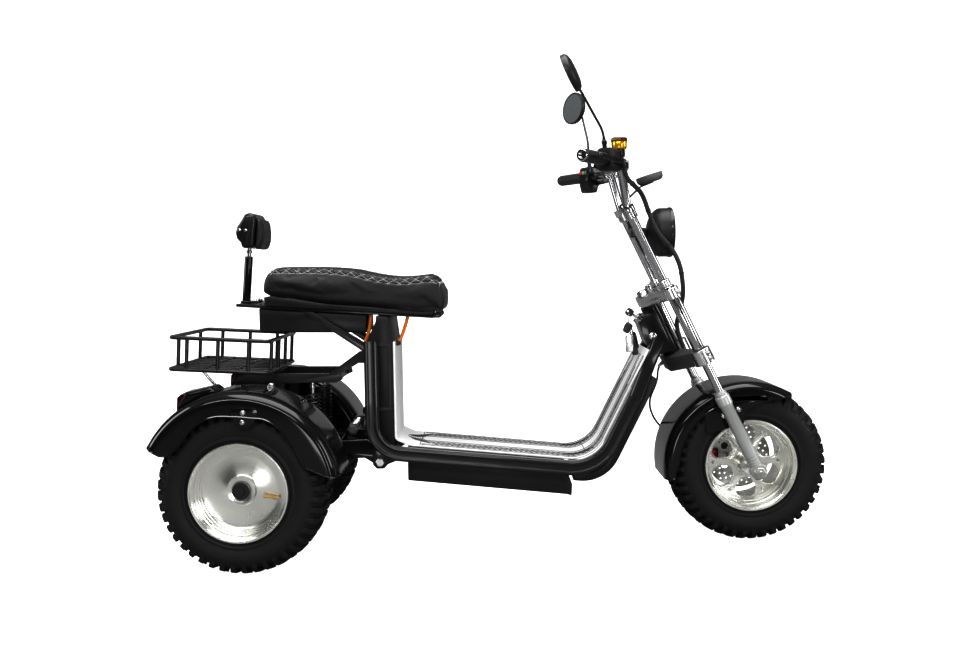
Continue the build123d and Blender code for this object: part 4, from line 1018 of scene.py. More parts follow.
for side, sign in SIDES:
    prop = tube([(at - 102, sign * 168, 484), (at - 114, sign * 173, 498), (at - 132, sign * 178, 523)], 4,
                20)
    show(f"basket_prop_{side}", prop, bright, "chassis")

# Fork: chrome tubes held by two yokes, with satin grey sliders below that carry the axle, the
# front fender's brackets and the brake caliper.

fork_spacing = 165
slider_grey = finish("slider_grey", (0.50, 0.51, 0.50), (0.42, 0.43, 0.42), metallic=0.55,
                     roughness=(0.30, 0.42), patch=10, grain=1100, bump=0.18, depth=0.0003)
slider = [(-22, 8), (-22, 15), (-19, 17.5), (14, 17.5)]
for k in range(4):
    slider += [(16 + k * 8, 17.5), (17 + k * 8, 16), (20 + k * 8, 16), (21 + k * 8, 17.5)]
slider += [(60, 17.5), (196, 17.5), (198, 18.4), (203, 18.4), (205, 20.5), (229, 20.5), (231, 19.5),
           (232, 18), (236, 17), (236, 12.4)]
boss = [(-13, 10), (-13, 20), (-11, 22), (11, 22), (13, 20), (13, 10)]
dust_seal = [(236, 12.4), (236, 17.4), (240, 17.4), (241, 14.6), (246, 13.6), (246, 12.4)]
stanchion = [(200, 12.5), (332, 12.5)]
upper_tube = [(332, 12.4), (332, 15.4), (333, 16), (564, 16), (567, 14), (568, 10), (568, 0.1)]
for side, sign in SIDES:
    place = fork_place(0, sign * fork_spacing, 0)
    parts = [turned(slider, 64), turned(boss, 64), turned(dust_seal, 48)]
    turn_boss = place.inverted() @ facing(front_axle + Vector((0, sign * fork_spacing * MM, 0)), (0, -1, 0))
    show(f"slider_{side}", merge(parts, [Matrix.Identity(4), turn_boss, Matrix.Identity(4)]), slider_grey,
         "steering", place, node="fork_sliders")
    show(f"fork_tube_{side}", merge([turned(stanchion, 64), turned(upper_tube, 64)]), chrome, "steering",
         place, node="fork_tubes")

axle_nut = [(182.6, 15), (193, 15), (194.6, 13), (194.6, 0.1)]
axle_rod = [(-184, 0.1), (-184, 9), (-183, 10), (183, 10)]
axle_parts = [turned(axle_rod, 40)]
axle_places = [facing(front_axle, (0, -1, 0))]
for sign in (-1, 1):
    axle_parts.append(turned(axle_nut, 6))
    axle_places.append(facing(front_axle, (0, sign, 0)))
    axle_parts.append(turned([(178.2, 10), (178.2, 18), (182.4, 18), (182.6, 10)], 40))
    axle_places.append(facing(front_axle, (0, sign, 0)))
    axle_parts.append(turned([(194, 6), (200, 6), (201, 5), (201, 0.1)], 24))
    axle_places.append(facing(front_axle, (0, sign, 0)))
show("wheel_axle", merge(axle_parts, axle_places), zinc, "steering", sharp=25,
     node="front_axle")

# Yokes: the lower one a dark cast bridge with bright clamps round both legs, the upper one bright
# aluminium with the steering stem's nut in its middle.

yoke_grey = finish("yoke_grey", (0.055, 0.058, 0.056), (0.080, 0.084, 0.081), metallic=0.2,
                   roughness=(0.35, 0.5), patch=10, grain=1000, bump=0.25, depth=0.0003)
dressed("lower_yoke", yoke_grey, "steering", 3)
dressed("upper_yoke", bright, "steering", 2.5)
for side, sign in SIDES:
    clamps = []
    clamp_places = []
    for height, radius, reach in ((352.5, 28.2, 19.5), (545, 22.6, 13.5)):
        clamps.append(turned([(-reach - 1, radius - 8), (-reach - 1, radius - 1), (-reach, radius),
                              (reach, radius), (reach + 1, radius - 1), (reach + 1, radius - 8)], 56))
        clamp_places.append(fork_place(0, sign * fork_spacing, height))
    show(f"yoke_rings_{side}", merge(clamps, clamp_places), bright, "steering")
    pinch = []
    for height, reach in ((345, 29), (361, 29), (545, 22)):
        pinch.append(facing(on_fork(14, sign * (fork_spacing + reach - 3), height), (0, sign, 0)))
    show(f"pinch_bolts_{side}", copies(dome, 20, pinch), zinc, "steering")

# Front fender: a gloss black guard over the tyre, with rounded shoulders and a rolled lip, carried
# by a deep bracket plate on each side that bolts to the slider.

front_skirt = [(59, 226), (66, 209), (76, 191), (90, 187), (110, 190), (125, 195), (150, 196),
               (178, 200), (189, 213)]
half = 112
guard_x = front_axle.x - 8 * MM
guard_start, guard_stop, guard_steps = 59.2, 188.7, 100
guard_side, guard_rise, guard_round = 216, 20.5, 34
rows = []
for step in range(guard_steps + 1):
    degrees = guard_start + (guard_stop - guard_start) * step / guard_steps
    turn = radians(degrees)
    low = between(front_skirt, degrees)
    near = [(-half + 1.5, low), (-half + 1.5, low * 0.5 + 107)]
    near += [(-half + 1.5 + guard_round * share, guard_side + guard_rise * up) for share, up in quarter()]
    near += [(-50, guard_side + guard_rise), (-25, guard_side + guard_rise)]
    section = near + [(0, guard_side + guard_rise)] + [(-y, r) for y, r in reversed(near)]
    rows.append([Vector((guard_x + r * MM * cos(turn), y * MM, axle_z + r * MM * sin(turn)))
                 for y, r in section])
show("front_guard", lipped(rows, 2.4), black_paint, "steering", sharp=40,
     node="front_fender")
fx = front_axle.x / MM
guard_stay = [(0, 8.5), (32, 8.5), (33.5, 7), (35, 7), (35, 0.1)]
big_dome = [(0, 9), (2, 9), (5.5, 7.4), (7.2, 4), (7.8, 0.1)]
for side, sign in SIDES:
    outline = eased([(fx - 135, 385), (fx - 128, 317), (fx - 70, 335), (fx - 24, 344), (fx - 22, 383),
                     (fx + 48, 413), (fx + 34, 427), (fx - 60, 424)], 12, 4)
    bracket = cut_plate([outline], 3, 0.9, side_place(sign * (half - 1.5)))
    show(f"guard_bracket_{side}", bracket, black_paint, "steering")
    stay_places = [facing(on_fork(0, sign * 112, height), (0, sign, 0)) for height in (146, 176)]
    show(f"guard_stays_{side}", copies(guard_stay, 28, stay_places), satin_black, "steering")
    heads = [facing(Vector((fx + x, sign * (half - 0.2), z)) * MM, (0, sign, 0))
             for x, z in ((-82, 371), (-41, 388))]
    show(f"guard_bolts_{side}", copies(big_dome, 28, heads), bright, "steering")
dressed("front_caliper", caliper_cast, "steering", 2.5)
red_accent = finish("red_anodised", (0.50, 0.015, 0.012), (0.38, 0.01, 0.01), metallic=0.5,
                    roughness=(0.25, 0.38), patch=30, grain=900, bump=0.08)
badge = slab(eased([(fx - 98, 207), (fx - 66, 207), (fx - 66, 243), (fx - 98, 243)], 6, 4), -46, -42,
             side_view, 1.2)
show("caliper_cover", badge, red_accent, "steering")

# Brake hose: one rubber hose from the union on the lower yoke, down outside the fender, to the
# caliper, with a swaged metal end at both ends.


cord_steps = 14


def cord_line(route):
    """Smooth line of a cord: a NURBS spline with its route's points, given from the rear axle."""
    curve = bpy.data.curves.new("cord_line", "CURVE")
    curve.dimensions = "3D"
    spline = curve.splines.new("NURBS")
    spline.points.add(len(route) - 1)
    for point, (x, y, z) in zip(spline.points, route):
        point.co = ((at + x) * MM, y * MM, z * MM, 1)
    spline.order_u = 3
    spline.use_endpoint_u = True
    curve.resolution_u = cord_steps
    line = [point.co.copy() for point in frozen(held(curve)).vertices]
    bpy.data.curves.remove(curve)
    return line


def show_cord(name, node, line, radius, material, body):
    """Round cord along its line, which goes back into the object at its far end."""
    cord = show(name, swept(circle(radius, 16), line, (0, 1, 0.2)), material, body, node=node)


rubber = finish("cable_rubber", (0.012, 0.012, 0.013), (0.022, 0.022, 0.023), roughness=(0.4, 0.6),
                patch=20, grain=1200, bump=0.2, depth=0.0003)
hose_line = cord_line((
    (1159.35, 45, 507.36), (1145.7, 45, 494.3), (1147.2, 60, 449.5), (1124, 86, 390), (1140, 116, 336),
    (1176, 127, 292), (1214, 128, 250), (1250, 128, 234), (1284.95, 128, 234)))
show_cord("brake_hose_piece", "brake_hose", hose_line, 3, rubber, "steering")
ferrule = [(-2, 3), (-2, 5), (0, 5.6), (8, 5.6), (9, 4.6), (16, 4.4), (17, 3.4), (17, 3)]
ends = [facing(hose_line[0], hose_line[1] - hose_line[0], (0, 1, 0)),
        facing(hose_line[-1], hose_line[-2] - hose_line[-1], (0, 1, 0))]
show("hose_ends", copies(ferrule, 20, ends), zinc, "steering")

# Handlebar: chrome tube on two tall chrome risers that stand on the upper yoke, its ends swept back,
# with knurled rubber grips that end in a bright ring.

dressed("bar_clamp", chrome, "steering", 0.6)
riser_collar = [(-9, 12.4), (-9, 16.5), (-8, 17.5), (8, 17.5), (9, 16.5), (9, 12.4)]
collar_places = [fork_place(7, y, up) for y in (-72, 72) for up in (570, 783)]
show("riser_collars", copies(riser_collar, 48, collar_places), bright, "steering")
bar_height = 1072
bar_end, bar_end_side = 893, 375
bar_bend, bar_bend_side = 1018, 172
bar_route = [(at + bar_end, -bar_end_side, bar_height), (at + bar_bend, -bar_bend_side, bar_height),
             (at + bar_bend, bar_bend_side, bar_height), (at + bar_end, bar_end_side, bar_height)]
bar_line = rounded(bar_route, 40, 14)
show("bar_tube", swept(circle(11, 32), bar_line, (0, 0, 1)), chrome, "steering", node="handlebar")
cap_bolts = []
for y in (-118, 118):
    for z in (-15, 15):
        cap_bolts.append(facing(from_rear(bar_bend + 19, y, bar_height + z * 0.6), (1, 0, z / 60)))
show("riser_bolts", copies(dome, 20, cap_bolts), zinc, "steering")

grip_rubber = finish("grip_rubber", (0.016, 0.017, 0.017), (0.030, 0.031, 0.031), roughness=(0.3, 0.42),
                     patch=20, grain=1100, bump=0.15, depth=0.0003)


def bar_place(sign, from_end):
    """Place on one end of the bar: its z runs inwards along it and its x points up."""
    end = from_rear(bar_end, sign * bar_end_side, bar_height)
    inward = (from_rear(bar_bend, sign * bar_bend_side, bar_height) - end).normalized()
    up = Vector((0, 0, 1))
    across = inward.cross(up)
    return Matrix.Translation(end + inward * from_end * MM) @ Matrix(
        (up, across, inward)).transposed().to_4x4()


grip_length, grip_radius, grip_collar, grip_mouth, knurl_depth, knurl_cut = 122, 15.4, 17, 14, 1.6, 1.35
for side, sign in SIDES:
    around, along = 96, 110
    points, faces = [], []
    for k in range(along + 1):
        z = grip_length * k / along
        for j in range(around):
            angle = 2 * pi * j / around
            wave = abs(sin(8 * angle + z * 0.42)) + abs(sin(8 * angle - z * 0.42))
            radius = grip_radius + knurl_depth * min(wave, knurl_cut) / knurl_cut
            if k in (0, along):
                radius = grip_mouth
            elif z < 5 or z > 116:
                radius = grip_collar
            points.append((radius * MM * cos(angle), radius * MM * sin(angle), z * MM))
    for k in range(along):
        for j in range(around):
            after = (j + 1) % around
            faces.append((k * around + j, k * around + after, (k + 1) * around + after,
                          (k + 1) * around + j))
    grip_mesh = bpy.data.meshes.new("grip")
    grip_mesh.from_pydata(points, [], faces)
    show(f"grip_{side}", grip_mesh, grip_rubber, "steering", bar_place(sign, 0), 50,
         node="grips")
    show(f"bar_end_{side}", turned([(0, 9), (0, 15), (-2, 15.6), (-6, 15), (-8, 13), (-8, 9), (0, 9)], 48),
         chrome, "steering", bar_place(sign, 0))

# Switch housings, levers and reservoirs: black moulded switch blocks with coloured buttons, cast
# perches with fluid reservoirs on top (brass-coloured on the right, red on the left), and long
# curved lever blades with a ball at the end.

dressed("switch_housings", moulded, "steering", 4)
yellow = finish("yellow_anodised", (0.72, 0.42, 0.03), (0.60, 0.33, 0.02), metallic=0.7,
                roughness=(0.2, 0.32), patch=30, grain=900, bump=0.06)
brown = finish("reservoir_lid", (0.10, 0.045, 0.02), (0.07, 0.03, 0.015), metallic=0.4,
               roughness=(0.25, 0.4), patch=30, grain=900, bump=0.08)
button_red = finish("button_red", (0.6, 0.02, 0.015), (0.5, 0.015, 0.01), roughness=(0.3, 0.45), bump=0.05)
button_green = finish("button_green", (0.02, 0.30, 0.06), (0.015, 0.24, 0.05), roughness=(0.3, 0.45),
                      bump=0.05)
button_grey = finish("button_grey", (0.35, 0.35, 0.35), (0.28, 0.28, 0.28), roughness=(0.35, 0.5),
                     bump=0.05)
lever_black = finish("lever_black", (0.012, 0.012, 0.013), (0.02, 0.02, 0.022), roughness=(0.2, 0.32),
                     patch=12, grain=1000, bump=0.06, coat=0.25, specular=0.3)
for side, sign in SIDES:
    place = bar_place(sign, 0)
    perch_parts = [turned([(172, 11.2), (172, 17), (174, 19), (196, 19), (198, 17), (198, 11.2)], 48)]
    tank_foot, tank_ahead = (38, 56) if sign > 0 else (30, 15)
    lever_arm = [(-28, -sign * 6), (-6, -sign * 6), (-4, -sign * 38), (-20, -sign * 38)]
    clamp_lug = [(5, sign * 8), (23, sign * 8), (23, sign * 33), (5, sign * 33)]
    tank_neck = [(8, sign * 6), (tank_foot + 1, sign * 6), (tank_foot + 1, -sign * (tank_ahead + 13)),
                 (8, -sign * (tank_ahead + 13))]
    switch_box = [(-50, -12), (-12, -24), (13, -22), (13, 20), (-12, 26), (-50, 16)]
    blocks = [(lever_arm, 5, 173, 197, 2), (clamp_lug, 5, 173, 197, 1.5), (tank_neck, 6, 174, 196, 2)]
    if sign > 0:
        blocks.append((switch_box, 8, 124, 170, 3))
    for outline, corner, low, high, edge in blocks:
        perch_parts.append(slab(eased(outline, corner, 4), low, high, edge=edge))
    show(f"lever_perch_{side}", merge(perch_parts), lever_black, "steering", place,
         node="brake_levers")
    tank_place = place @ Matrix.Translation(Vector((tank_foot, -sign * tank_ahead, 185)) * MM
                                            ) @ Matrix.Rotation(radians(90), 4, "Y")
    tank = turned([(0, 16), (0, 18.6), (3, 20), (18, 20.4), (20, 19.6)], 48)
    lid = turned([(19, 17), (19, 21), (22, 22), (28, 21.6), (30.6, 19), (31.4, 0.1)], 10)
    show(f"fluid_tank_{side}", tank, yellow if sign < 0 else button_red, "steering",
         tank_place)
    show(f"tank_lid_{side}", lid, brown if sign < 0 else lever_black, "steering",
         tank_place, 20)
    blade_route = rounded([(-8, -sign * 30, 186), (-6, -sign * 40, 150), (-3, -sign * 38, 80),
                           (0, -sign * 36, 40), (0, -sign * 38, 22)], [30, 60, 60, 30], 8)
    blade = swept(tile(3.6, 8, 3.4, 4), blade_route, (1, 0, 0), scale=lambda t: 1 - 0.25 * t)
    ball = turned([(-7, 0.1), (-6, 3.6), (-3.6, 6), (0, 7), (3.6, 6), (6, 3.6), (7, 0.1)], 24)
    ball.transform(Matrix.Translation(Vector((0, -sign * 38, 21)) * MM))
    show(f"lever_blade_{side}", merge([blade, ball]), lever_black, "steering", place)
    for name, x, z, paint in (("top", 20, 132, button_red), ("middle", 20, 146, button_grey),
                              ("end", 20, 160, button_green)):
        button_base = place @ Matrix.Translation(Vector((x - 8, sign * 20, z)) * MM) @ Matrix.Rotation(
            radians(-90 * sign), 4, "X")
        button = slab(tile(5, 4, 2, 3), 0, 6, edge=1)
        show(f"button_{name}_{side}", button, paint, "steering", button_base)

# Mirrors: oval black shells on bent black stems that screw into the perches, with ground glass set
# in a narrow rim.

mirror_glass = finish("mirror_glass", (0.74, 0.78, 0.80), (0.70, 0.74, 0.76), metallic=0.85,
                      roughness=(0.02, 0.05), patch=3, grain=200, bump=0.0)
mirror_steps, mirror_wide, mirror_tall, glass_share = 72, 58, 50, 0.915
oval = [(cos(2 * pi * j / mirror_steps), sin(2 * pi * j / mirror_steps)) for j in range(mirror_steps)]
for side, sign, middle, yaw, lean, stem_route in (
    ("left", 1, (933, 322, 1295), 28, 4, ((967, 212, 1096.2), (963, 220, 1180), (953, 288, 1262))),
    ("right", -1, (872, -322, 1287), 14, -23, ((967, -212, 1096.4), (962, -218, 1150), (892, -300, 1251))),
):
    yaw, lean = radians(yaw), radians(lean)
    look = Vector((-cos(yaw) * cos(lean), -sign * sin(yaw) * cos(lean), sin(lean)))
    wide = Vector((sign * sin(yaw), -cos(yaw), 0))
    tall = look.cross(wide)
    place = Matrix.Translation(from_rear(*middle)) @ Matrix((wide, tall, look)).transposed().to_4x4()
    profile = [(8.6, 0.90), (10, 0.93), (10, 0.985), (9, 1.0), (2, 1.0), (-3, 0.96), (-7.5, 0.86),
               (-10.5, 0.66), (-11.8, 0.36), (-12, 0.02)]
    shell_points = [(mirror_wide * s * MM * x, mirror_tall * s * MM * y, z * MM)
                    for x, y in oval for z, s in profile]
    shell_faces = []
    count = len(profile)
    for j in range(mirror_steps):
        here, there = j * count, (j + 1) % mirror_steps * count
        shell_faces += [(here + k, there + k, there + k + 1, here + k + 1) for k in range(count - 1)]
    shell_mesh = bpy.data.meshes.new("mirror_shell")
    shell_mesh.from_pydata(shell_points, [], shell_faces)
    stem_line = rounded([(at + x, y, z) for x, y, z in stem_route], [60], 12)
    stem = swept(circle(3.4, 16), stem_line, (1, 0, 0))
    stem.transform(place.inverted())
    foot = turned([(-2, 8), (5, 8), (7, 6.6), (20, 6.6), (22, 8), (30, 8), (32, 5), (40, 4.4),
                   (41, 3.4)], 6)
    foot.transform(place.inverted() @ facing(stem_line[0], stem_line[1] - stem_line[0], (1, 0, 0)))
    show(f"mirror_{side}", merge([shell_mesh, stem, foot]), moulded, "steering",
         place, node="mirrors")
    glass_points = [(mirror_wide * glass_share * MM * x, mirror_tall * glass_share * MM * y, 8.9 * MM)
                    for x, y in oval]
    glass = bpy.data.meshes.new("mirror_glass")
    dome_points = glass_points + [(x * 0.5, y * 0.5, z + 0.6 * MM) for x, y, z in glass_points]
    dome_points.append((0, 0, 9.7 * MM))
    n = mirror_steps
    glass_faces = [(j, (j + 1) % n, n + (j + 1) % n, n + j) for j in range(n)]
    glass_faces += [(n + j, n + (j + 1) % n, 2 * n) for j in range(n)]
    glass.from_pydata(dome_points, [], glass_faces)
    show(f"mirror_glass_{side}", glass, mirror_glass, "steering", place)

# Headlight: a deep black bowl held between the fork tubes by a strap, with a black rim, a polished
# reflector inside and a domed clear lens.

lamp_face = from_rear(1172, 0, 888)
lamp_place = facing(lamp_face, (1, 0, 0))
bowl = [(0, 69), (0, 70), (-28, 70), (-33, 69), (-42, 63), (-50, 54), (-57, 42), (-62, 28), (-64, 12),
        (-64, 0.1)]
bowl_inside = [(-2, 66), (-30, 60), (-44, 44), (-50, 24), (-51, 0.1)]
rim_ring = [(-3, 66.5), (-3, 71), (0, 72.4), (6, 71.6), (8, 69), (6, 66), (-3, 66)]
show("lamp_bowl", turned(bowl, 96), moulded, "steering", lamp_place,
     node="headlight")
show("lamp_reflector", turned(bowl_inside, 72), chrome, "steering", lamp_place)
show("lamp_rim", turned(rim_ring, 96), lever_black, "steering", lamp_place)
clear, clear_tree, clear_shader = start_material("clear_lens", (0.96, 0.97, 0.98), roughness=0.04)
fill(clear_shader, {"Transmission Weight": 1.0, "IOR": 1.45})
flutes = clear_tree.nodes.new("ShaderNodeTexWave")
flutes.inputs["Scale"].default_value = 40
flute_place = clear_tree.nodes.new("ShaderNodeTexCoord")
flute_relief = clear_tree.nodes.new("ShaderNodeBump")
fill(flute_relief, {"Strength": 0.3, "Distance": 0.001})
join(clear_tree, (flute_place, "Object", flutes, "Vector"), (flutes, "Fac", flute_relief, "Height"),
     (flute_relief, "Normal", clear_shader, "Normal"))
lens = [(0, 66), (3, 64), (8, 54), (11, 38), (12, 20), (12, 0.1)]
show("lamp_lens", turned(lens, 96), clear, "steering", lamp_place, node="headlight_lens")
bulb = [(-50, 7), (-40, 7), (-38, 10), (-20, 10), (-16, 8), (-14, 0.1)]
show("lamp_bulb", turned(bulb, 32), bright, "steering", lamp_place)
across_fork = Matrix(((0, 1, 0, 0), (-1, 0, 0, 0), (0, 0, 1, 0), (0, 0, 0, 1)))
strap = slab(tile(60, 10, 4, 3), 0, 24, fork_place(7, 0, 724) @ across_fork, 2)
show("lamp_strap", strap, satin_black, "steering")
lamp_arm = slab(tile(20, 14, 6, 4), -110, -50, lamp_place, 3)
show("lamp_arm", lamp_arm, satin_black, "steering")

# Display: a round instrument in a dark cast housing with a raised rim, on a bent strip above the
# bridge, with a dark glass over its dial.

tilt = radians(17)
display_up = Vector((-sin(tilt), 0, cos(tilt)))
display_place = facing(from_rear(1122, 0, 1032), display_up, (0, 1, 0))
housing = [(0, 0.1), (0, 30), (2, 34), (8, 38), (20, 39), (22, 38.4), (22, 35), (20.4, 34)]
show("display_housing", turned(housing, 72), cast_case, "steering", display_place,
     node="display")
dial_glass = finish("dial_glass", (0.02, 0.022, 0.026), (0.035, 0.038, 0.045), roughness=(0.03, 0.07),
                    patch=30, grain=300, bump=0.0, coat=1.0)
show("display_glass", turned([(20.4, 34), (21, 20), (21.2, 0.1)], 72), dial_glass, "steering",
     display_place)
stalk_foot = on_fork(0, 0, 812)
stalk_line = [stalk_foot, stalk_foot + fork_up * 8 * MM,
              from_rear(1092, 0, 1020), from_rear(1126, 0, 1033)]
stalk = swept(tile(15, 2.5, 1.5, 3), rounded([point / MM for point in stalk_line], [10, 20], 6), (1, 0, 0))
show("display_stalk", stalk, satin_black, "steering")

# Control loom: the bar's wires in a braided sleeve, tied down the front of the fork to the lower
# yoke, with four ties and a white connector near its lower end.

loom_line = cord_line((
    (1015.5, -233, 1058.9), (1015.5, -233, 1030), (1048, -180, 1010), (1080, -116, 992),
    (1104, -84, 935), (1128, -82, 883), (1166, -80, 842), (1190, -76, 797), (1199, -66, 750),
    (1204, -52, 707), (1196, -34, 662), (1185.95, -18, 609.8), (1211.75, -18, 555.7)))
braid = finish("braided_sleeve", (0.012, 0.012, 0.013), (0.035, 0.035, 0.037), roughness=(0.4, 0.6),
               patch=300, grain=2200, bump=0.6, depth=0.0006)
show_cord("loom_sleeve", "control_loom", loom_line, 6.5, braid, "steering")
nylon = finish("white_nylon", (0.72, 0.72, 0.70), (0.62, 0.62, 0.60), roughness=(0.35, 0.5), patch=30,
               grain=900, bump=0.1)
plug_spot = len(loom_line) * 5 // 6
plug_way = loom_line[plug_spot + 1] - loom_line[plug_spot]
show("loom_connector", slab(tile(9, 9, 2.5, 3), -13, 13, edge=1.2), nylon, "steering",
     facing(loom_line[plug_spot], plug_way, (0, 1, 0)))
tie = [(-2, 6.3), (-2, 7.4), (2, 7.4), (2, 6.3)]
tie_places = []
for share in (0.12, 0.3, 0.48, 0.64):
    k = int(len(loom_line) * share)
    tie_places.append(facing(loom_line[k], loom_line[k + 1] - loom_line[k], (0, 1, 0)))
show("loom_ties", copies(tie, 24, tie_places), moulded, "steering")

# Ignition lock: a chrome barrel on the neck's rear face with its key, and a ring below it that holds
# three spare keys and their fobs.

lock_way = Vector((-0.805, 0, 0.593)).normalized()
lock_foot = from_rear(1085.21, -22, 637.55)
lock_place = facing(lock_foot, lock_way, (0, 1, 0))
barrel = [(0, 11), (6, 11), (6, 13), (7, 15), (14, 15), (15, 14), (15, 10.5), (14, 9.5), (14, 0.1)]
show("lock_barrel", turned(barrel, 48), chrome, "chassis", lock_place, node="ignition_lock")
key_black = finish("key_black", (0.014, 0.014, 0.015), (0.024, 0.024, 0.025), roughness=(0.35, 0.5),
                   bump=0.1)
lock_tip = lock_foot + lock_way * 15 * MM
key_place = facing(lock_tip, (0, 1, 0), lock_way)
blade = cut_plate([eased([(-4, 0), (4, 0), (4, 14), (-4, 14)], 1, 2)], 2.2, 0.4, key_place)
show("key_blade", blade, zinc, "chassis")
head = cut_plate([eased([(-9, 12), (9, 12), (12, 22), (9, 34), (-9, 34), (-12, 22)], 5, 4),
                  circle(3, 16, (0, 29))], 6, 1.2, key_place)
show("key_head", head, key_black, "chassis")
ring_centre = lock_tip + lock_way * 22 * MM + Vector((0, 0, -16 * MM))
key_ring = [ring_centre + Vector((6 * sin(2 * pi * k / 32), 12 * sin(2 * pi * k / 32),
                                  14 * cos(2 * pi * k / 32))) * MM for k in range(32)]
show("key_ring", swept(circle(1.2, 8), key_ring, (1, 0, 0), closed=True), chrome, "chassis")
spare = ring_centre + Vector((0, 0, -13 * MM))
for number, (lean, width, drop, length) in enumerate(((-0.62, 11, 2, 30), (-0.05, 12, 34, 52),
                                                      (0.16, 11, 38, 58), (0.28, 8, 30, 50))):
    way = Vector((lean, 0.06 * number, -1)).normalized()
    hang = facing(spare + Vector((0, (number - 1.5) * 7, 0)) * MM, (0.25, -1, 0), way)
    low, waist = drop + length, drop + 12
    fob = cut_plate([eased([(-width, drop), (width, drop), (width + 1, waist), (width - 2, low),
                            (-width + 2, low), (-width - 1, waist)], 5, 4)], 5, 1.4, hang)
    show(f"key_fob_{number}", fob, bright if number == 1 else key_black, "chassis")
    if drop > 10:
        link = cut_plate([eased([(-3, -2), (3, -2), (3, drop + 4), (-3, drop + 4)], 2, 2)], 1.8, 0.4, hang)
        show(f"spare_key_{number}", link, bright, "chassis")

# Seat leads: two orange battery leads that come out of the tower and go up into the box under the
# seat, each with a black boot at its foot.

orange = finish("orange_lead", (0.80, 0.22, 0.02), (0.70, 0.18, 0.015), roughness=(0.3, 0.45), patch=30,
                grain=1000, bump=0.1)
for name, route in (
    ("front", ((387.1, -72, 586), (401, -72, 586), (421, -74, 660.3))),
    ("rear", ((305.9, -78, 577), (297, -78, 577), (302, -78, 598), (312, -78, 620), (319, -78, 667.1))),
):
    line = cord_line(route)
    show_cord(f"lead_{name}", f"seat_lead_{name}", line, 5, orange, "chassis")
    show(f"lead_boot_{name}", turned([(0, 5), (0, 8), (3, 8.4), (8, 7), (12, 5.8), (12, 5)], 24), rubber,
         "chassis", facing(line[0], line[1] - line[0], (0, 1, 0)))

# Seat: a moulded base that hinges at its front, under a long foam cushion in black leather. The
# cushion's top is quilted in diamonds with white thread, inside a stitched border.

dressed("seat_base", moulded, "seat", 3)


def pillow(outline, half_width, ease):
    """Closed cushion form: a side outline in millimetres, rounded over towards both its sides."""
    count = len(outline)
    normals = []
    for k in range(count):
        way = Vector(outline[(k + 1) % count]) - Vector(outline[k - 1])
        normals.append(Vector((-way.y, way.x)).normalized())
    area = sum(a[0] * b[1] - b[0] * a[1] for a, b in zip(outline, outline[1:] + outline[:1]))
    inward = 1 if area > 0 else -1
    stations = []
    for k in range(7):
        bend = radians(90 * (1 - k / 6))
        stations.append((-(half_width - ease) - ease * sin(bend), ease * (1 - cos(bend))))
    for k in range(1, 24):
        stations.append((-(half_width - ease) + 2 * (half_width - ease) * k / 24, 0))
    stations += [(-y, inset) for y, inset in stations[6::-1]]
    rows = []
    for y, inset in stations:
        rows.append([Vector((x + inward * n.x * inset, y, z + inward * n.y * inset)) * MM
                     for (x, z), n in zip(outline, normals)])
    return skin(rows, around=True)


def divided(outline, longest):
    """Closed outline with points added so that no run is much longer than the given length."""
    points = []
    for start, end in zip(outline, outline[1:] + outline[:1]):
        pieces = max(1, int(hypot(end[0] - start[0], end[1] - start[1]) // longest))
        points += [(start[0] + (end[0] - start[0]) * k / pieces,
                    start[1] + (end[1] - start[1]) * k / pieces) for k in range(pieces)]
    return points


def stuffed(mesh, grain_size, pressure, limit):
    """The pillow in even faces, blown up as cloth from inside, no point moving past the limit."""
    holder = held(mesh)
    even = holder.modifiers.new("even", "REMESH")
    even.mode = "VOXEL"
    even.voxel_size = grain_size * MM
    smooth = holder.modifiers.new("smooth", "SMOOTH")
    smooth.iterations = 4
    start = frozen(holder)
    holder.modifiers.clear()
    holder.data = start
    cloth = holder.modifiers.new("cloth", "CLOTH")
    cloth.settings.quality = 5
    cloth.settings.mass = 0.3
    cloth.settings.tension_stiffness = 18
    cloth.settings.compression_stiffness = 18
    cloth.settings.bending_stiffness = 2
    cloth.settings.use_pressure = True
    cloth.settings.uniform_pressure_force = pressure
    cloth.settings.effector_weights.gravity = 0
    for day in range(1, 21):
        bpy.context.scene.frame_set(day)
    blown = frozen(holder)
    bpy.context.scene.frame_set(1)
    holder.modifiers.clear()
    for point, place in zip(start.vertices, [v.co.copy() for v in blown.vertices]):
        move = place - point.co
        if move.length > limit * MM:
            move = move.normalized() * limit * MM
        point.co += move
    finer = holder.modifiers.new("finer", "SUBSURF")
    finer.levels = finer.render_levels = 1
    done = frozen(holder)
    bpy.data.objects.remove(holder)
    return done


def curve_through(points, steps=8):
    """Smooth line through points, ends included."""
    ends = [points[0]] + list(points) + [points[-1]]
    line = []
    for a, b, c, d in zip(ends, ends[1:], ends[2:], ends[3:]):
        for k in range(steps):
            t = k / steps
            line.append(tuple(0.5 * (2 * q + (r - p) * t + (2 * p - 5 * q + 4 * r - s) * t * t
                                     + (3 * q - p - 3 * r + s) * t ** 3) for p, q, r, s in zip(a, b, c, d)))
    line.append(tuple(points[-1]))
    return line


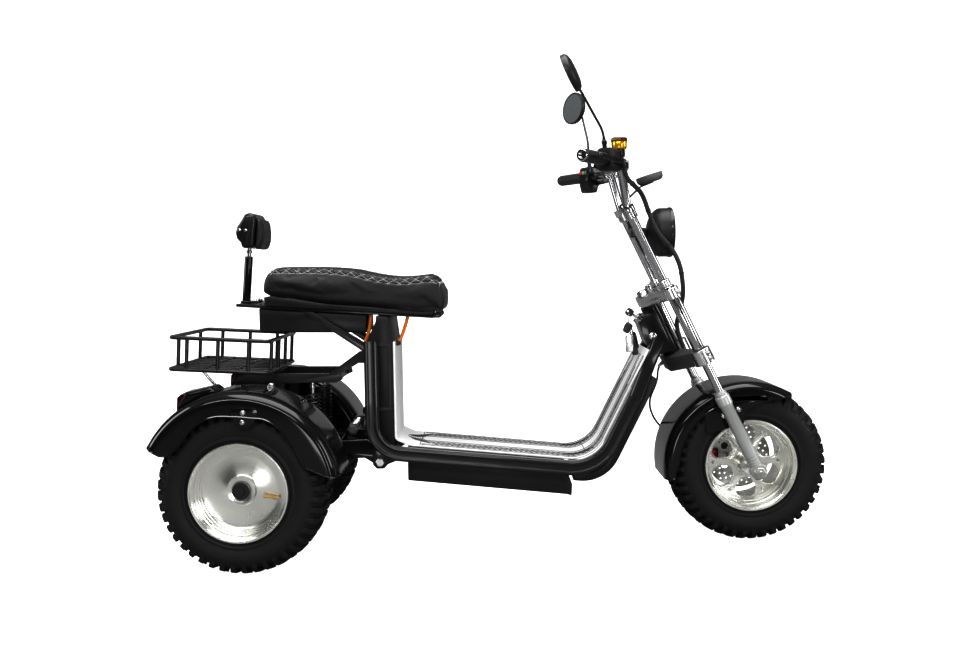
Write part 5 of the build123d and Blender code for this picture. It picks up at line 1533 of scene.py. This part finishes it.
leather, leather_tree, leather_shader = start_material("black_leather", (0.011, 0.011, 0.012))
leather_shader.inputs["Specular IOR Level"].default_value = 0.38
leather_place = leather_tree.nodes.new("ShaderNodeTexCoord")
pebbles = leather_tree.nodes.new("ShaderNodeTexVoronoi")
pebbles.feature = "DISTANCE_TO_EDGE"
pebbles.inputs["Scale"].default_value = 620
leather_surface = leather_tree.nodes.new("ShaderNodeGroup")
leather_surface.node_tree = worked_surface
fill(leather_surface, {"Patch Size": 14, "Grain Size": 260, "Low": 0.34, "High": 0.5})
leather_drift = leather_tree.nodes.new("ShaderNodeMix")
leather_drift.data_type = "RGBA"
fill(leather_drift, {"A": (0.009, 0.009, 0.010, 1), "B": (0.017, 0.017, 0.018, 1)})
creases = leather_tree.nodes.new("ShaderNodeMath")
creases.operation = "MULTIPLY_ADD"
creases.inputs[1].default_value = 0.35
leather_relief = leather_tree.nodes.new("ShaderNodeBump")
fill(leather_relief, {"Strength": 0.35, "Distance": 0.0012})
join(leather_tree, (leather_place, "Object", pebbles, "Vector"), (leather_surface, "Grain", creases, 0),
     (pebbles, "Distance", creases, 2), (creases, 0, leather_relief, "Height"),
     (leather_relief, "Normal", leather_shader, "Normal"),
     (leather_surface, "Roughness", leather_shader, "Roughness"),
     (leather_surface, "Patches", leather_drift, "Factor"),
     (leather_drift, "Result", leather_shader, "Base Color"))

seat_half, seat_ease = 138, 18
seat_top = [(20, 735), (24, 765), (38, 790), (62, 797), (120, 797.5), (185, 796), (230, 793), (270, 788),
            (310, 779), (345, 772), (380, 767.5), (412, 766), (450, 768), (485, 771.5), (506, 767),
            (520, 750), (528, 725), (533, 690)]
seat_under = [(533, 690), (530, 676), (515, 675), (512.5, 680), (461, 678), (300, 693), (199, 701),
              (48, 728), (20, 735)]
seat_outline = [(at + x, z) for x, z in curve_through(seat_top, 6)[:-1] + seat_under[:-1]]
cushion_mesh = stuffed(pillow(divided(seat_outline, 6), seat_half, seat_ease), 5, 4, 6)

diamond = 30
shoulder = seat_half - seat_ease


def crown_height(x):
    """Height of the cushion's middle line at a distance from the rear axle."""
    return between(seat_top[2:16], min(max(x, 38), 520))


def border_at(x):
    """How far over the shoulder the quilting reaches, measured along the surface from the middle."""
    reach = between([(40, 0.78), (200, 0.80), (330, 1.02), (430, 1.20), (520, 1.34)], x)
    return shoulder + seat_ease * reach + 1.6 * sin(x / 15 * pi)


def surface_place(point):
    """(distance along, distance across over the shoulder) of a point on the cushion."""
    x, y, z = point.x / MM - at, point.y / MM, point.z / MM
    if abs(y) <= shoulder:
        return x, y
    bend = atan2(abs(y) - shoulder, z - crown_height(x) + seat_ease)
    return x, (shoulder + seat_ease * bend) * (1 if y > 0 else -1)


def line_gap(value):
    """Distance to the nearest stitch line."""
    step = diamond / 2 ** 0.5
    return abs((value / 2 ** 0.5 + step / 2) % step - step / 2)


quilt_start, quilt_end = 46, 512
skin_ways = [point.normal.copy() for point in cushion_mesh.vertices]
for point, skin_way in zip(cushion_mesh.vertices, skin_ways):
    if skin_way.z < -0.3:
        continue
    along, across = surface_place(point.co)
    edge = min(border_at(along) - abs(across), along - quilt_start, quilt_end - along)
    if edge < -6:
        continue
    seam = exp(-(edge / 2.4) ** 2)
    if edge > 0:
        near, far = line_gap(along + across), line_gap(along - across)
        lines = max(exp(-(near / 2.2) ** 2), exp(-(far / 2.2) ** 2))
        puff = min(near, 8) * min(far, 8) / 64
        rise = 2.0 * puff - 2.4 * lines
    else:
        rise = 0
    point.co += skin_way * (rise * min(1, max(0, edge) / 3) - 2.0 * seam) * MM
cushion = show("seat_pad", cushion_mesh, leather, "seat", sharp=180, node="seat_cushion")

cushion_tree = BVHTree.FromPolygons([v.co for v in cushion_mesh.vertices],
                                    [tuple(p.vertices) for p in cushion_mesh.polygons])


def on_cushion(along, across):
    """World point on the cushion's skin and its normal, at a place along and across it."""
    way = Vector((0, 0, 1))
    core = Vector(((at + along), across, crown_height(along) - seat_ease))
    if abs(across) > shoulder:
        bend = (abs(across) - shoulder) / seat_ease
        side = 1 if across > 0 else -1
        way = Vector((0, side * sin(bend), cos(bend)))
        core.y = side * shoulder
    if along > 500:
        way = (way + Vector(((along - 500) / 40, 0, 0))).normalized()
    spot, normal, _, _ = cushion_tree.ray_cast((core + way * 70) * MM, -way)
    return spot, normal


stitch, gap, thread_radius = 3.4, 0.9, 0.55


def stitches(run):
    """Row of thread stitches along (along, across) places on the cushion."""
    parts = []
    reach = [0.0]
    for a, b in zip(run, run[1:]):
        reach.append(reach[-1] + hypot(b[0] - a[0], b[1] - a[1]))
    walked, k = 0.0, 1
    while walked + stitch < reach[-1]:
        ends = []
        for stop in (walked, walked + stitch):
            while k < len(reach) - 1 and reach[k] < stop:
                k += 1
            share = (stop - reach[k - 1]) / max(reach[k] - reach[k - 1], 1e-6)
            a, b = run[k - 1], run[k]
            spot, normal = on_cushion(a[0] + (b[0] - a[0]) * share, a[1] + (b[1] - a[1]) * share)
            ends.append((spot, normal))
        walked += stitch + gap
        if ends[0][0] is None or ends[1][0] is None:
            continue
        (a, up), (b, _) = ends
        if (b - a).length < 0.001 or (b - a).length > 0.008:
            continue
        side = up.cross(b - a).normalized()
        middle = a.lerp(b, 0.5) + up * 0.5 * MM
        thin, thick = ((-0.5, 0), (0.5, 0), (0, 0.4)), ((-1, 0.2), (1, 0.2), (0, 1.3))
        parts.append([[spot + (side * x + up * y) * thread_radius * MM for x, y in section]
                      for spot, section in ((a, thin), (middle, thick), (b, thin))])
    return parts


rows_of_thread = []
for direction in (-1, 1):
    for number in range(-8, 26):
        run = []
        for k in range(260):
            across = -150 + 300 * k / 259
            along = number * diamond - direction * across
            if quilt_start + 1 < along < quilt_end - 1 and abs(across) < border_at(along) - 1:
                run.append((along, across))
        if len(run) > 3:
            rows_of_thread += stitches(run)
for side in (-1, 1):
    rows_of_thread += stitches([(x, side * border_at(x)) for x in range(quilt_start, quilt_end + 1, 4)])
for x in (quilt_start, quilt_end):
    wide = int(border_at(x))
    rows_of_thread += stitches([(x, y) for y in range(-wide, wide + 1, 4)])
thread_points, thread_faces = [], []
for rows in rows_of_thread:
    base = len(thread_points)
    thread_points += [corner for row in rows for corner in row]
    for k in (0, 1):
        for j in range(3):
            after = (j + 1) % 3
            thread_faces.append((base + 3 * k + j, base + 3 * k + after, base + 3 * k + 3 + after,
                                 base + 3 * k + 3 + j))
    thread_faces += [(base + 2, base + 1, base), (base + 6, base + 7, base + 8)]
thread_mesh = bpy.data.meshes.new("thread")
thread_mesh.from_pydata(thread_points, [], thread_faces)
thread = finish("white_thread", (0.80, 0.80, 0.78), (0.66, 0.66, 0.64), roughness=(0.6, 0.8), patch=60,
                grain=2600, bump=0.5, depth=0.0003)
show("quilting_thread", thread_mesh, thread, "seat", sharp=60)

# Backrest: a satin moulded shell on an oval black post with a chrome neck. A leather pad is glued
# to its front, and two screws hold it at the rear.

post_foot = from_rear(-53, 0, 708)
post_head = from_rear(-42, 0, 838)
post_place = facing(post_foot, post_head - post_foot, (0, 1, 0))
post_length = (post_head - post_foot).length / MM
post_points, post_faces = [], []
post_levels = [(-6, 1), (post_length - 4, 1), (post_length - 1, 0.95), (post_length, 0.84)]
for j in range(48):
    angle = 2 * pi * j / 48
    post_points += [(11.5 * s * MM * cos(angle), 15 * s * MM * sin(angle), z * MM) for z, s in post_levels]
for j in range(48):
    here, there = j * 4, (j + 1) % 48 * 4
    post_faces += [(here + k, there + k, there + k + 1, here + k + 1) for k in range(3)]
post_faces += [tuple(j * 4 + 3 for j in range(48)), tuple(j * 4 for j in reversed(range(48)))]
post_mesh = bpy.data.meshes.new("post")
post_mesh.from_pydata(post_points, [], post_faces)
plate = slab(from_axle([(-66, -25), (-6, -25), (-6, 25), (-66, 25)], 8, 4), 704, 710)
plate.transform(post_place.inverted())
show("back_post", merge([post_mesh, plate]), black_paint, "chassis", post_place,
     node="backrest_post")
neck_profile = [(post_length - 1, 6.5), (post_length + 10, 6.5), (post_length + 12, 9),
                (post_length + 16, 9), (post_length + 18, 6.5), (post_length + 24, 6.5)]
show("back_neck", turned(neck_profile, 40), chrome, "chassis", post_place)
foot_bolts = [facing(from_rear(-17, y, 710), (0, 0, 1), (0, 1, 0)) for y in (-16, 16)]
show("post_bolts", copies(dome, 20, foot_bolts), zinc, "chassis")

shell_corners = [(-46, 861), (-50, 876), (-61, 889), (-64, 906), (-59, 922), (-47, 939), (-37, 956),
                 (-24, 961), (-10, 957), (-4, 946), (-13, 861)]
gloss_shell = finish("gloss_shell", (0.008, 0.008, 0.009), (0.014, 0.014, 0.015), roughness=(0.24, 0.34),
                     patch=5, grain=1200, bump=0.06, depth=0.0002, coat=0.2, specular=0.3)
show("back_shell", pillow(from_axle(shell_corners, 9, 4), 65, 11), gloss_shell, "chassis",
     sharp=50, node="backrest_shell")
screws = [facing(from_rear(x, side * 64.5, z), (0, side, 0)) for side in (-1, 1)
          for x, z in ((-51, 912), (-34, 911))]
small_head = [(-1, 4.4), (0.6, 4.4), (2.2, 3), (2.6, 0.1)]
show("back_screws", copies(small_head, 20, screws), bright, "chassis")

pad_corners = [(-4, 945), (5, 944), (11, 932), (13, 905), (11, 880), (4, 861), (-8, 856), (-12, 862)]
pad_mesh = stuffed(pillow(divided(from_axle(pad_corners, 8), 5), 61.5, 9), 3, 3, 3)
pad_ways = [point.normal.copy() for point in pad_mesh.vertices]
for point, skin_way in zip(pad_mesh.vertices, pad_ways):
    if skin_way.x > 0.2:
        seam = exp(-((abs(point.co.y) / MM - 42) / 2.2) ** 2)
        point.co -= skin_way * 2.2 * seam * MM
pad = show("back_pad", pad_mesh, leather, "chassis", sharp=180, node="backrest_pad")
